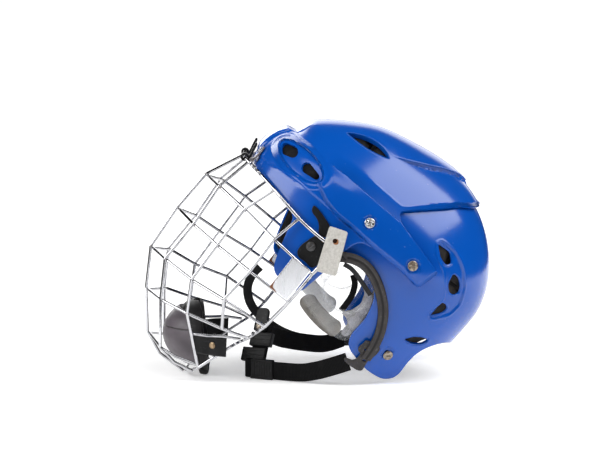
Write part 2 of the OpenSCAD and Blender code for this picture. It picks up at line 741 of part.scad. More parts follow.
// chin strap, as it lies on the ground behind the chin cup, folded round the slider's front end
near_hook_y = -85.7;
far_hook_y = 84.2;
near_run = [[-66, -36.8, 9.8], [-22, -61.5, 9.8], [-4, -71.4, 13], [12, -79.4, 18.5],
  [27.5, near_hook_y, 24.5]];
fold_run = [[-56.3, -35.9, 9.8], [-63.3, -32, 9.8], [-66.8, -30.1, 9.8], [-69.6, -29.9, 9.8],
  [-71.3, -31.6, 9.8], [-70.4, -34.3, 9.8]];
far_run = [[-54, -14.5, 39.6], [-46, 5, 36], [-36, 24, 30], [-14, 48, 22.5], [8, 68, 18],
  [27.5, far_hook_y, 21]];
slide_line = (lay(near_run[1]) - lay(near_run[0])) / norm(lay(near_run[1]) - lay(near_run[0]));
slider_l = 24;
slider_at = lay(near_run[0]) + slide_line * 12.5;
fold_turn = atan2(slide_line[1], slide_line[0]);
module webbing(p)
  ribbon(p, [for (v = tangents(p)) cross(v, [0, 0, 1])], strap_w, strap_t);
module rising()
  translate(lay([-63.3, -31.9, 6]))
    rotate([0, 0, fold_turn])
      rotate([-24, 0, 0])
        children();
module chin_strap_near()
  color("#141416") {
    fold = [for (q = fold_run) lay(q)];
    run = smooth([for (i = [1:4]) lay(near_run[i])], 3);
    webbing(concat(fold, [lay(near_run[0])], run));
    rising() translate([-strap_w / 2, 0, 0]) cube([strap_w, strap_t, 50]);
  }
module chin_strap_far()
  color("#141416")
    webbing(smooth([for (q = far_run) lay(q)], 3));
// plate in the x and z plane of the rising frame, from y inwards by t
module lock(x, z, w, h, y, t, r = 2.5)
  hull()
    for (a = [-1, 1], b = [-1, 1])
      translate([x + a * (w / 2 - r), y, z + b * (h / 2 - r)])
        rotate([-90, 0, 0]) cylinder(r = r, h = t, $fn = 16);
module strap_slider()
  color("#1c1c1e")
    translate([slider_at[0], slider_at[1], slider_at[2] - 9.5])
      rotate([0, 0, fold_turn])
        difference() {
          lock(0, strap_w / 2 + 0.7, slider_l, strap_w + 1.6, -strap_t - 1.9, strap_t + 3.8);
          translate([-20, -strap_t - clear, 0.3]) cube([40, strap_t + 2 * clear, strap_w + 0.5]);
        }
module strap_adjuster()
  color("#1c1c1e")
    rising()
      for (q = [[-5, 17, 24], [0, 33, 22]])
        difference() {
          lock(q[0], q[1], q[2] + 2, 14, -2.2, strap_t + 4);
          translate([-strap_w / 2 - 0.15, -0.15, q[1] - 10]) cube([strap_w + 0.3, strap_t + 0.3, 20]);
        }
module strap_clip()
  color("#1c1c1e")
    rising()
      lock(-3, 53, 14, 24, -3.15, 3, 4);
module strap_stud()
  color("#c9ccd2")
    rising()
      translate([-4, -3.25, 46])
        rotate([90, 0, 0])
          cylinder(r1 = 3.6, r2 = 2.8, h = 1.4, $fn = 20);

front_shell();
rear_shell();
front_liner();
crown_liner();
rear_liner();
ear_guards();
guard_pads();
forehead_clips();
clip_screws();
temple_brackets();
temple_screws();
temple_hooks();
shell_screws();
t_nuts();
lobe_screws();
cage_frame();
cage_verticals();
cage_cross_wires();
cage_chin_wire();
side_plates();
cage_tabs();
chin_cup();
chin_cup_pad();
cup_straps();
cup_rods();
cup_rivets();
near_ear_loop();
far_ear_loop();
loop_hooks();
chin_strap_near();
chin_strap_far();
strap_slider();
strap_adjuster();
strap_clip();
strap_stud();
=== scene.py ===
# %% [markdown]
# # A hockey player's helmet with a wire face cage
# The helmet lies tilted back on its chin wires and rear lobes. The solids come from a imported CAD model,
# which fixes every size and place. This lesson dresses them: it rebuilds the shells with their creases,
# recesses and rims, bends the cage's wires, and gives each part the finish it has on a used helmet.
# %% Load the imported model
import math

import bmesh
import bpy
import numpy as np
from mathutils import Matrix, Vector, geometry


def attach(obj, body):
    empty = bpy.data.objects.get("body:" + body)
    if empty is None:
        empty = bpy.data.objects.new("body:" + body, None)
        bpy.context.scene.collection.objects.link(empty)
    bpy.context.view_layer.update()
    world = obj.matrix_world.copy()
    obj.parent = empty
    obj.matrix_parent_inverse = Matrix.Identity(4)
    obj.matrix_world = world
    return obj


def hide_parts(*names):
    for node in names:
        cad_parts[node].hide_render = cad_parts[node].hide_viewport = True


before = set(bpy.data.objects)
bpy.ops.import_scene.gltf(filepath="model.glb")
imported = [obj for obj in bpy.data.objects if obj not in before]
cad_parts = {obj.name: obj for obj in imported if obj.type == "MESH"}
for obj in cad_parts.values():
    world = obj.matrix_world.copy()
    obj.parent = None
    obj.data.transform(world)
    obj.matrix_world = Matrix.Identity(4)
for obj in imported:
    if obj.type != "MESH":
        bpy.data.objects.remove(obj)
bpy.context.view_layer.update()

# %% [markdown]
# The camera stands level with the helmet's side and a little above it, far away, so the perspective is
# weak. Its aim and lens put one millimetre of the helmet on one pixel of a picture 612 pixels wide.
# %% Camera
SCENE = bpy.context.scene
aim = Vector((-0.0105, 0.0, 0.146))
look = Vector((math.sin(math.radians(1.0)) * math.cos(math.radians(6.3)),
               math.cos(math.radians(1.0)) * math.cos(math.radians(6.3)), -math.sin(math.radians(6.3))))
camera = bpy.data.objects.new("camera", bpy.data.cameras.new("camera"))
camera.data.lens = 36 * 2.5 / 0.612
camera.location = aim - look * 2.5
camera.rotation_euler = look.to_track_quat("-Z", "Y").to_euler()
camera.data.clip_end = 50
SCENE.collection.objects.link(camera)
SCENE.camera = camera
SCENE.view_settings.view_transform = "Standard"
print("camera at", [round(v, 3) for v in camera.location])

# %% [markdown]
# Shader maths reads best as plain expressions, so a socket of a node tree gets its own small class here.
# Adding, multiplying or subtracting such sockets adds the Math nodes. Every other node comes from one
# function that takes the node's type, its settings and what goes into its sockets.
# %% A socket that can be calculated with
class Sock:
    """One output of a node, on which +, - and * add Math nodes."""

    def __init__(self, tree, output):
        self.tree, self.output = tree, output

    def maths(self, operation, *values):
        return node(self.tree, "ShaderNodeMath", {"operation": operation}, dict(enumerate(values or (self,))))

    def __add__(self, other):
        return self.maths("ADD", self, other)

    def __radd__(self, other):
        return self.maths("ADD", other, self)

    def __sub__(self, other):
        return self.maths("SUBTRACT", self, other)

    def __rsub__(self, other):
        return self.maths("SUBTRACT", other, self)

    def __mul__(self, other):
        return self.maths("MULTIPLY", self, other)

    def __rmul__(self, other):
        return self.maths("MULTIPLY", other, self)

    def step(self, low, high):
        """0 below low, 1 above high and smooth between."""
        return node(self.tree, "ShaderNodeMapRange", {"interpolation_type": "SMOOTHSTEP"},
                    {0: self, 1: low, 2: high, 3: 0.0, 4: 1.0})


def node(tree, kind, settings=None, sockets=None, out=0):
    """Adds a node, sets it, fills its sockets with values or links and gives one of its outputs."""
    made = tree.nodes.new(kind)
    for key, value in (settings or {}).items():
        setattr(made, key, value)
    for key, value in (sockets or {}).items():
        if isinstance(value, Sock):
            tree.links.new(value.output, made.inputs[key])
        elif value is not None:
            made.inputs[key].default_value = value
    return Sock(tree, made.outputs[out])


print("socket class ready")

# %% [markdown]
# The room is dark, with a lit white wall behind the helmet. Glossy plastic shows exactly that, saturated
# where it mirrors the dark and pale where it mirrors something bright, so three soft boxes stand high on
# the left, on the right and in front. The camera itself sees plain white, into which the floor fades.
# %% World, floor and soft boxes
DARK_ROOM, WALL_GLOW, WALL_LEFT_GLOW, FRONT_LEFT_GLOW, SEEN_WHITE = 0.02, 1.9, 3.0, 0.35, 1.02
world = bpy.data.worlds.new("studio")
SCENE.world = world
world.use_nodes = True
sky = world.node_tree
sky.nodes.clear()
direction = node(sky, "ShaderNodeTexCoord", out="Generated")
axes = node(sky, "ShaderNodeSeparateXYZ", {}, {0: direction})
to_x, to_y, to_z = (Sock(sky, axes.output.node.outputs[i]) for i in range(3))
wall = to_y.step(0.76, 0.86) * to_z.step(0.02, 0.12)
wall = wall * (1 - to_x.maths("ABSOLUTE").step(0.37, 0.46)) * (1 - to_z.step(0.46, 0.56))
front_left = (-1 * to_x).step(0.53, 0.63) * (-1 * to_y).step(-0.10, 0.25)
glow = DARK_ROOM + wall * (WALL_GLOW + WALL_LEFT_GLOW * (-1 * to_x).step(-0.05, 0.2)) + FRONT_LEFT_GLOW * front_left
seen = node(sky, "ShaderNodeLightPath", out="Is Camera Ray")
strength = seen * SEEN_WHITE + (1 - seen) * glow
background = node(sky, "ShaderNodeBackground", {}, {"Color": (1, 1, 1, 1), "Strength": strength})
sky.links.new(background.output, sky.nodes.new("ShaderNodeOutputWorld").inputs[0])


def soft_box(name, to, distance, size, power):
    """Area light in a direction from the helmet, sizes in metres and power in watts."""
    light = bpy.data.objects.new(name, bpy.data.lights.new(name, "AREA"))
    light.data.shape, light.data.size, light.data.size_y = "RECTANGLE", size[0], size[1]
    light.data.energy = power
    centre = Vector((0, 0, 0.13))
    light.location = centre + Vector(to).normalized() * distance
    light.rotation_euler = (centre - light.location).to_track_quat("-Z", "Y").to_euler()
    SCENE.collection.objects.link(light)


soft_box("left_box", (-0.84, -0.26, 0.47), 1.5, (1.15, 0.8), 15)
soft_box("right_box", (0.64, -0.16, 0.71), 1.5, (1.3, 0.95), 21)
soft_box("top_box", (-0.06, -0.48, 0.87), 1.5, (1.2, 0.55), 6)

FLOOR = [(-0.8, -0.8), (0.8, -0.8), (0.8, 0.4), (-0.8, 0.4), (0.6, 1.0), (-0.6, 1.0), (1.2, 6), (-1.2, 6)]
floor = bpy.data.objects.new("floor", bpy.data.meshes.new("floor"))
floor.data.from_pydata([(x, y, 0) for x, y in FLOOR], [], [(0, 1, 2, 3), (3, 2, 4, 5), (5, 4, 6, 7)])
pale = bpy.data.materials.new("pale_floor")
pale.use_nodes = True
pale.node_tree.nodes.clear()
lit = node(pale.node_tree, "ShaderNodeBsdfDiffuse", {}, {"Color": (0.9, 0.9, 0.9, 1)})
spot = node(pale.node_tree, "ShaderNodeTexCoord", out="Object")
far_off = node(pale.node_tree, "ShaderNodeVectorMath", {"operation": "LENGTH"}, {0: spot}, out="Value")
floor_glow = 0.36 + 0.70 * far_off.step(0.15, 1.2)
own = node(pale.node_tree, "ShaderNodeEmission", {}, {"Color": (1, 1, 1, 1), "Strength": floor_glow})
both = node(pale.node_tree, "ShaderNodeAddShader", {}, {0: lit, 1: own})
pale.node_tree.links.new(both.output, pale.node_tree.nodes.new("ShaderNodeOutputMaterial").inputs[0])
floor.data.materials.append(pale)
SCENE.collection.objects.link(floor)
print("studio ready")

# %% [markdown]
# A finish is one Principled shader with noise behind its colour, roughness and bump. What varies over the
# surface is linked; what is the same everywhere is set on the shader's own socket.
# %% How a finish is made
class Finish:
    """One material, with the helpers that its patterns need."""

    def __init__(self, name):
        self.material = bpy.data.materials.new(name)
        self.material.use_nodes = True
        self.tree = self.material.node_tree
        self.tree.nodes.clear()
        self.place = node(self.tree, "ShaderNodeTexCoord", out="Object")
        self.uv = node(self.tree, "ShaderNodeTexCoord", out="UV")

    def add(self, kind, settings=None, sockets=None, out=0):
        return node(self.tree, kind, settings, sockets, out)

    def noise(self, scale, detail=3.0, rough=0.5, stretch=None):
        where = self.place
        if stretch:
            where = self.add("ShaderNodeMapping", {}, {"Vector": where, "Scale": stretch})
        return self.add("ShaderNodeTexNoise", {}, {"Vector": where, "Scale": scale, "Detail": detail,
                                                   "Roughness": rough})

    def mix(self, share, a, b):
        made = self.tree.nodes.new("ShaderNodeMix")
        made.data_type = "RGBA"
        for socket, value in ((made.inputs[0], share), (made.inputs[6], a), (made.inputs[7], b)):
            if isinstance(value, Sock):
                self.tree.links.new(value.output, socket)
            else:
                socket.default_value = value if isinstance(value, (int, float)) else (*value, 1)
        return Sock(self.tree, made.outputs[2])

    def bump(self, height, distance, strength):
        return self.add("ShaderNodeBump", {}, {"Height": height, "Distance": distance, "Strength": strength})

    def attribute(self, name):
        return self.add("ShaderNodeAttribute", {"attribute_name": name}, out="Fac")

    def axis(self, vector, letter):
        return self.add("ShaderNodeSeparateXYZ", {}, {"Vector": vector}, out=letter)

    def done(self, colour, rough, metal=0.0, normal=None, **fixed):
        sockets = {"Base Color": colour if isinstance(colour, Sock) else (*colour, 1),
                   "Roughness": rough, "Metallic": metal, "Normal": normal}
        sockets.update({key.replace("_", " "): value for key, value in fixed.items()})
        shader = self.add("ShaderNodeBsdfPrincipled", {}, sockets)
        end = self.tree.nodes.new("ShaderNodeOutputMaterial")
        self.tree.links.new(shader.output, end.inputs[0])
        return self.material


print("finish class ready")

# %% [markdown]
# Everything on the shell is drawn in the wearer's frame, upright on a head, and turned into the lying
# position at the end. The shell follows one egg: a power curve in plan and another one up to the crown.
# %% The egg that the shells follow
TILT = math.radians(38.1021)
LIE_AT = np.array([43.711, 0, 133.845])
LYING_SHIFT = np.array([1.511, 0, 0])
FRONT_L, BACK_L, HALF_W, CROWN_H, DROP_H = 163.5, 106.5, 101.0, 96.5, 240.0
EGG_X, EGG_Z, PITCH, PLAN_POW, CROWN_POW = 31.0, 12.0, -0.02, 2.4, 1.82
SHELL_O = 3.0        # how far the shell's plain outer face stands off the egg
MAP_SCALE = 1.6      # millimetres of the flat map for one degree down from the crown


def unit(v):
    return v / np.maximum(np.linalg.norm(v, axis=-1, keepdims=True), 1e-9)


def way_of(directions):
    """Directions in the wearer's frame, turned with the lying helmet."""
    d = np.asarray(directions, float).reshape(-1, 3)
    c, s = math.cos(TILT), math.sin(TILT)
    return np.stack([d[:, 0] * c + d[:, 2] * s, d[:, 1], -d[:, 0] * s + d[:, 2] * c], 1)


def world_of(points):
    """Wearer's millimetres to the lying helmet's metres."""
    return (way_of(points) + LIE_AT) / 1000


def wearer_of(co):
    """Metres of the lying helmet back to the wearer's millimetres."""
    q = co * 1000 - LIE_AT
    c, s = math.cos(TILT), math.sin(TILT)
    return np.stack([q[:, 0] * c - q[:, 2] * s, q[:, 1], q[:, 0] * s + q[:, 2] * c], 1)


def lying(points):
    """Millimetres drawn on the lying helmet to metres."""
    return (np.asarray(points, float).reshape(-1, 3) + LYING_SHIFT) / 1000


def signed_power(value, power):
    return np.sign(value) * np.abs(value) ** power


def long_reach(dx, o):
    """Half length of the egg at o off it, ahead of or behind its middle."""
    return np.where(dx < 0, FRONT_L, BACK_L) + o


def high_reach(zz, o):
    """Half height of the egg at o off it, above or below its brim."""
    return np.where(zz > 0, CROWN_H, DROP_H) + o


def skin(th, ph, o):
    """Points of the egg in millimetres, th round from the back and ph up from the brim, in degrees."""
    th, ph = np.radians(th), np.radians(ph)
    zz = high_reach(ph, o) * signed_power(np.sin(ph), 2 / CROWN_POW)
    r = signed_power(np.cos(ph), 2 / CROWN_POW)
    x = long_reach(np.cos(th), o) * r * signed_power(np.cos(th), 2 / PLAN_POW)
    y = (HALF_W + o) * r * signed_power(np.sin(th), 2 / PLAN_POW)
    return np.stack([EGG_X + x, y, EGG_Z + zz + PITCH * x], -1)


def on_side(x, z, o):
    """Point of the near wall in the side view, o off the egg."""
    x, z = np.broadcast_arrays(np.asarray(x, float), np.asarray(z, float))
    dx = x - EGG_X
    zz = z - EGG_Z - PITCH * dx
    q = np.abs(zz) / high_reach(zz, o)
    share = np.maximum(0, 1 - q ** CROWN_POW) ** (PLAN_POW / CROWN_POW) - (np.abs(dx) / long_reach(dx, o)) ** PLAN_POW
    return np.stack([x, -(HALF_W + o) * np.maximum(0, share) ** (1 / PLAN_POW), z], -1)


def side_normal(x, z, o=SHELL_O):
    across = on_side(x + 2.0, z, o) - on_side(x - 2.0, z, o)
    up = on_side(x, z + 2.0, o) - on_side(x, z - 2.0, o)
    return unit(np.cross(across, up))


def near_frame(x, z, o):
    """Point, backward axis, upward axis and outward normal on the near wall."""
    p, n = on_side(x, z, o), side_normal(x, z, o)
    a = unit(np.array([1.0, 0, 0]) - n * n[0])
    return p, a, np.cross(n, a), n


def side_to_map(x, z):
    """Side view to the flat map that the shells are meshed in, u back and v to the side."""
    x, z = np.asarray(x, float), np.asarray(z, float)
    dx = x - EGG_X
    zz = z - EGG_Z - PITCH * dx
    ph = np.degrees(np.arcsin(np.clip(signed_power(zz / high_reach(zz, SHELL_O), CROWN_POW / 2), -1, 1)))
    r = np.maximum(signed_power(np.cos(np.radians(ph)), 2 / CROWN_POW), 1e-6)
    c = np.clip(signed_power(dx / (long_reach(dx, SHELL_O) * r), PLAN_POW / 2), -1, 1)
    th, rho = -np.arccos(c), MAP_SCALE * (90 - ph)
    return np.stack([rho * np.cos(th), rho * np.sin(th)], -1)


def map_to_angles(uv):
    rho = np.hypot(uv[..., 0], uv[..., 1])
    return np.degrees(np.arctan2(uv[..., 1], uv[..., 0])), 90 - rho / MAP_SCALE


print("egg ready, brow at", world_of(skin(np.array([180.0]), np.array([0.0]), 3))[0].round(4))

# %% [markdown]
# A moulded shell is a thin sheet with an outline, holes and raised or sunk areas. Cutting such shapes with
# booleans leaves slivers that spoil a glossy surface. Here the sheet is meshed flat instead: a fine net of
# points, denser along every edge, is triangulated in the map, kept inside the outline, and only then
# lifted onto the egg by a height that changes smoothly. Exact normals come from the same height.
# %% Distances to drawn lines
def dense(outline, step, closed=True):
    """Outline with extra points, so that no two are further apart than step."""
    p = np.asarray(outline, float)
    ring = np.vstack([p, p[:1]]) if closed else p
    parts = []
    for a, b in zip(ring[:-1], ring[1:]):
        n = max(1, int(math.ceil(np.linalg.norm(b - a) / step)))
        parts.append(a + (b - a) * (np.arange(n) / n)[:, None])
    if not closed:
        parts.append(ring[-1:])
    return np.vstack(parts)


def fillet(outline, radius, closed=True, count=4):
    """Outline with each corner replaced by a short curve."""
    p = np.asarray(outline, float)
    n, made = len(p), []
    for i in range(n):
        if not closed and i in (0, n - 1):
            made.append(p[i])
            continue
        before, after = p[i - 1] - p[i], p[(i + 1) % n] - p[i]
        a, b = np.linalg.norm(before), np.linalg.norm(after)
        t = min(radius, 0.45 * a, 0.45 * b)
        start, end = p[i] + before / a * t, p[i] + after / b * t
        made += [(1 - k) ** 2 * start + 2 * k * (1 - k) * p[i] + k * k * end for k in np.linspace(0, 1, count)]
    return np.array(made)


def through(points, k):
    """Smooth curve through points, as the CAD source draws it."""
    p = np.asarray(points, float)
    made = []
    for i in range(len(p) - 1):
        a, b, c, d = p[max(i - 1, 0)], p[i], p[i + 1], p[min(i + 2, len(p) - 1)]
        for t in np.arange(k) / k:
            made.append(0.5 * (2 * b + (c - a) * t + (2 * a - 5 * b + 4 * c - d) * t * t
                               + (3 * b - a - 3 * c + d) * t ** 3))
    return np.array(made + [p[-1]])


def ellipse(x, z, wide, high, count, tilt=0.0):
    """Ring of points in the side view; tilt adds a lean."""
    a = np.linspace(0, 2 * math.pi, count + 1)[:-1]
    return np.stack([x + wide * np.cos(a) + tilt * np.sin(a), z + high * np.sin(a) - tilt * np.cos(a)], 1)


def round_hole(x, z, r, count=20):
    return ellipse(x, z, r, r, count)


def slot_outline(a, ra, b, rb, count=14):
    """Outline round two circles."""
    a, b = np.array(a, float), np.array(b, float)
    d = b - a
    turn = math.atan2(d[1], d[0])
    lean = math.acos(np.clip((ra - rb) / np.linalg.norm(d), -1, 1))
    first = turn + np.linspace(lean, 2 * math.pi - lean, count)
    second = turn + np.linspace(-lean, lean, count)
    return np.vstack([a + ra * np.stack([np.cos(first), np.sin(first)], 1),
                      b + rb * np.stack([np.cos(second), np.sin(second)], 1)])


def inside(points, outline):
    """Which points of a plane lie inside a closed outline."""
    x, y = points[:, 0], points[:, 1]
    hit = np.zeros(len(x), bool)
    p = np.asarray(outline, float)
    for (x0, y0), (x1, y1) in zip(p, np.roll(p, -1, 0)):
        if y0 != y1:
            hit ^= ((y0 > y) != (y1 > y)) & (x < (x1 - x0) * (y - y0) / (y1 - y0) + x0)
    return hit


def far_from(points, line):
    """Distance from each point to a chain of points in space or a plane."""
    best = np.full(len(points), 1e9)
    for a, b in zip(line[:-1], line[1:]):
        d = b - a
        t = np.clip(((points - a) @ d) / max(d @ d, 1e-9), 0, 1)
        best = np.minimum(best, np.linalg.norm(points - a - t[:, None] * d, axis=1))
    return best


def from_loops(points, loops):
    """Distance from each point to the nearest of some closed loops."""
    return np.min([far_from(points, np.vstack([loop, loop[:1]])) for loop in loops], 0)


def nearest(points, others):
    """Distance from each point to the nearest of the others, a few of them at a time."""
    best = np.full(len(points), 1e9)
    few = 200
    for start in range(0, len(others), few):
        part = others[start:start + few]
        best = np.minimum(best, np.sqrt(((points[:, None] - part[None]) ** 2).sum(-1)).min(1))
    return best


def sideways(line, closed=True):
    """Unit vectors across a drawn line, to its left."""
    ahead = unit(np.roll(line, -1, 0) - np.roll(line, 1, 0) if closed else np.gradient(line, axis=0))
    return np.stack([-ahead[:, 1], ahead[:, 0]], 1)


def smooth(t):
    t = np.clip(t, 0, 1)
    return t * t * (3 - 2 * t)


def bell(t):
    return np.exp(-t ** 2)


def rounding(gap, edge):
    """How far a face drops at a distance from its edge, when the edge is rounded off."""
    return edge * (1 - np.sqrt(np.clip(1 - (1 - np.clip(gap / edge, 0, 1)) ** 2, 0, 1)))


class Line:
    """A drawn line on the near wall, closed or open, that knows how far a point of the surface is."""

    def __init__(self, outline, closed=True, lift=SHELL_O):
        self.flat = dense(outline, 2.5, closed)
        ring = np.vstack([self.flat, self.flat[:1]]) if closed else self.flat
        self.chain = on_side(ring[:, 0], ring[:, 1], lift)

    def away(self, points):
        return far_from(points, self.chain)

    def depth(self, points):
        """Distance in from the closed line, negative outside."""
        return self.away(points) * np.where(inside(points[:, [0, 2]], self.flat), 1, -1)


print("line tools ready")

# %% [markdown]
# The last function below takes the outline and the holes in the side view, the fine lines that need close
# points, and two height functions. It makes the near half, with a wall along each edge, and mirrors it.
# The small functions before it are shared with the pieces that come later.
# %% Mesh builder for moulded sheets
def piece_of(name, verts, faces, material, normals=None):
    mesh = bpy.data.meshes.new(name)
    mesh.from_pydata([tuple(v) for v in verts], [], [tuple(f) for f in faces])
    mesh.materials.append(material)
    mesh.validate()
    mesh.polygons.foreach_set("use_smooth", [True] * len(mesh.polygons))
    if normals is not None:
        mesh.normals_split_custom_set([tuple(n) for n in normals])
    made = bpy.data.objects.new(name, mesh)
    SCENE.collection.objects.link(made)
    return made


def assign(made, body, stands_for=None):
    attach(made, body)
    if stands_for:
        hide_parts(stands_for)
    return made


def points_of(made):
    co = np.empty(len(made.data.vertices) * 3)
    made.data.vertices.foreach_get("co", co)
    return co.reshape(-1, 3)


def keep_value(made, name, values):
    """Stores one number for each point, which a shader can read."""
    layer = made.data.attributes.new(name, "FLOAT", "POINT")
    layer.data.foreach_set("value", np.asarray(values, np.float32))


def turned_out(mesh, merge=0.0):
    """Merges points that are closer than merge, and turns every face outwards."""
    bm = bmesh.new()
    bm.from_mesh(mesh)
    if merge:
        bmesh.ops.remove_doubles(bm, verts=bm.verts, dist=merge)
    bmesh.ops.recalc_face_normals(bm, faces=bm.faces)
    bm.to_mesh(mesh)
    bm.free()


def evaluated_mesh(made):
    """New mesh of what an object's modifiers make."""
    return bpy.data.meshes.new_from_object(made.evaluated_get(bpy.context.evaluated_depsgraph_get()))


def half_net(pitch, span):
    """Triangular net over the near half of the map, whose first row is the middle line."""
    row = np.arange(-span, span, pitch)
    net = np.vstack([np.stack([row + (i % 2) * pitch / 2, np.full(len(row), v)], 1)
                     for i, v in enumerate(np.arange(-span, 0.01, pitch * 0.866)[::-1])])
    net[:, 1] -= net[:, 1].max()
    return net


def triangulated(loops, points, merge, least, half=False):
    """Triangles inside the first loop and outside the others, with at least twice the least area."""
    edges, start = [], 0
    for loop in loops:
        edges += [(start + i, start + (i + 1) % len(loop)) for i in range(len(loop))]
        start += len(loop)
    given = [Vector(p) for p in np.vstack(loops + [points])]
    verts, _, tris, _, _, _ = geometry.delaunay_2d_cdt(given, edges, [], 0, merge)
    flat, tris = np.array([tuple(v) for v in verts]), np.array(tris)
    centre = flat[tris].mean(1)
    keep = inside(centre, loops[0])
    for loop in loops[1:]:
        keep &= ~inside(centre, loop)
    if half:
        keep &= centre[:, 1] < -1e-4
    tris = tris[keep]
    a, b, c = (flat[tris[:, k]] for k in range(3))
    turn = (b - a)[:, 0] * (c - a)[:, 1] - (b - a)[:, 1] * (c - a)[:, 0]
    tris, turn = tris[np.abs(turn) > least], turn[np.abs(turn) > least]
    tris[turn < 0] = tris[turn < 0][:, ::-1]
    used, tris = np.unique(tris, return_inverse=True)
    return flat[used], tris.reshape(-1, 3)


def rim_of(tris):
    """Edges that belong to one triangle only."""
    pairs = dict.fromkeys((t[i], t[(i + 1) % 3]) for t in tris for i in range(3))
    return [(i, j) for i, j in pairs if (j, i) not in pairs]


def closed_faces(tris, rim, count):
    """The triangles, the same ones turned over below them, and a wall along the rim."""
    return ([tuple(t) for t in tris] + [tuple(t[::-1] + count) for t in tris]
            + [(j, i, i + count, j + count) for i, j in rim])


def moulded_sheet(name, outline, holes, lines, outer, inner, material, coarse=3.0, fine=1.2,
                  edge_steps=(0.35, 0.8, 1.5), reach=5.0, mirrored=True):
    """Sheet over the part of the egg inside the outline; outer and inner give offsets at surface points."""
    def surface(uv, height):
        th, ph = map_to_angles(uv)
        return skin(th, ph, height(skin(th, ph, SHELL_O)))

    loops = [side_to_map(*dense(outline, 1.3).T)] + [side_to_map(*dense(h, 1.0).T) for h in holes]
    marks = [side_to_map(*dense(line, 1.0, False).T) for line in lines]
    drawn = np.vstack(loops + marks)
    low, high = drawn.min(0) - reach, drawn.max(0) + reach
    span = 200.0
    net, small = (n[np.all((n > low) & (n < high), 1)] for n in (half_net(coarse, span), half_net(fine, span)))
    net, small = net[nearest(net, drawn) >= reach], small[nearest(small, drawn) < reach]
    rows = [mark + sideways(mark, False) * step for mark in marks for step in (-1.7, -0.85, 0.0, 0.85, 1.7)]
    if rows:
        small = small[nearest(small, np.vstack(rows)) > 0.6]
    points = np.vstack([net, small] + rows + [loop + way * sideways(loop) * step for loop in loops
                                              for step in edge_steps for way in (-1, 1)])
    points = points[(points[:, 1] <= 0) & (np.hypot(*points.T) < span)]
    points = points[from_loops(points, loops) > 0.25]
    uv, tris = triangulated(loops, points, 1e-4, 1e-6, half=True)
    uv[np.abs(uv[:, 1]) < 1e-3, 1] = 0.0
    on_middle = uv[:, 1] == 0

    def face(height):
        """Points of one face and their normals, from the same height."""
        du, dv = (surface(uv + d, height) - surface(uv - d, height) for d in ([[0.25, 0]], [[0, 0.25]]))
        n = unit(np.cross(du, dv))
        n[on_middle, 1] = 0
        return surface(uv, height), unit(n)

    top, top_n = face(outer)
    under, under_n = face(inner)
    count = len(uv)
    rim = [(i, j) for i, j in rim_of(tris) if not (on_middle[i] and on_middle[j])]
    verts, faces = np.vstack([top, under]), closed_faces(tris, rim, count)
    normals = [top_n[i] for t in tris for i in t] + [-under_n[i] for t in tris for i in t[::-1]]
    walls = [-unit(np.cross(top[j] - top[i], under[i] - top[i])) for i, j in rim]
    out_way = np.zeros((count, 3))
    for (i, j), n in zip(rim, walls):
        out_way[i] += n
        out_way[j] += n
    out_way = unit(out_way)
    for (i, j), n in zip(rim, walls):
        normals += [out_way[k] if out_way[k] @ n > 0.75 else n for k in (j, i, i, j)]
    normals = np.array(normals)
    if mirrored:
        mirror = np.array([1, -1, 1])
        middle = np.abs(verts[:, 1]) < 1e-6
        number = np.where(middle, np.arange(len(verts)), 0)
        number[~middle] = len(verts) + np.arange((~middle).sum())
        extra, extra_n, at = [], [], 0
        for f in faces:
            extra.append(tuple(int(number[i]) for i in f[::-1]))
            extra_n += [normals[at + k] * mirror for k in range(len(f))][::-1]
            at += len(f)
        verts, faces = np.vstack([verts, verts[~middle] * mirror]), faces + extra
        normals = np.vstack([normals, extra_n])
    made = piece_of(name, world_of(verts), faces, material, way_of(normals))
    print(name, len(made.data.vertices), "points", len(made.data.polygons), "faces")
    return made


# %% [markdown]
# The shell's plastic is coloured right through and highly glossy. It has a slight unevenness from
# moulding, and on a used helmet fine hairline scuffs and a few deep pale scratches.
# %% Blue shell plastic
def scratch_mask(f, marks, half_width):
    """1 on short straight marks, each given by its two ends in metres."""
    total = None
    for a, b in marks:
        a, b = Vector(a), Vector(b)
        d = b - a
        from_a = f.add("ShaderNodeVectorMath", {"operation": "SUBTRACT"}, {0: f.place, 1: a})
        along = f.add("ShaderNodeVectorMath", {"operation": "DOT_PRODUCT"},
                      {0: from_a, 1: d / d.length_squared}, out="Value")
        along = f.add("ShaderNodeClamp", {}, {0: along})
        foot = f.add("ShaderNodeVectorMath", {"operation": "SCALE"}, {0: d, "Scale": along})
        gap = f.add("ShaderNodeVectorMath", {"operation": "DISTANCE"}, {0: from_a, 1: foot}, out="Value")
        mark = 1 - gap.step(half_width * 0.4, half_width)
        total = mark if total is None else total.maths("MAXIMUM", total, mark)
    return total


def blue_plastic(name, marks):
    f = Finish(name)
    broad = f.noise(14, 2)
    hair = f.noise(60, 4, 0.6, stretch=(1.0, 6.0, 2.2)).step(0.66, 0.72)
    grit = f.noise(260, 2).step(0.45, 0.75)
    worn = hair * grit * 0.35
    cuts = scratch_mask(f, marks, 0.0006) * f.noise(700, 2).step(0.36, 0.5)
    colour = f.mix(broad, (0.0012, 0.072, 0.40), (0.0016, 0.086, 0.46))
    colour = f.mix(worn, colour, (0.16, 0.26, 0.55))
    colour = f.mix(cuts, colour, (0.62, 0.68, 0.80))
    rough = 0.15 + broad * 0.05 + worn * 0.5 + cuts * 0.4
    height = f.noise(55, 2) * 0.7 + f.noise(900, 1) * 0.06 - cuts * 0.4
    return f.done(colour, rough, normal=f.bump(height, 0.0002, 0.35), IOR=1.5)


def on_wall(x, z, o=3.2):
    return tuple(world_of(on_side(x, z, o))[0])


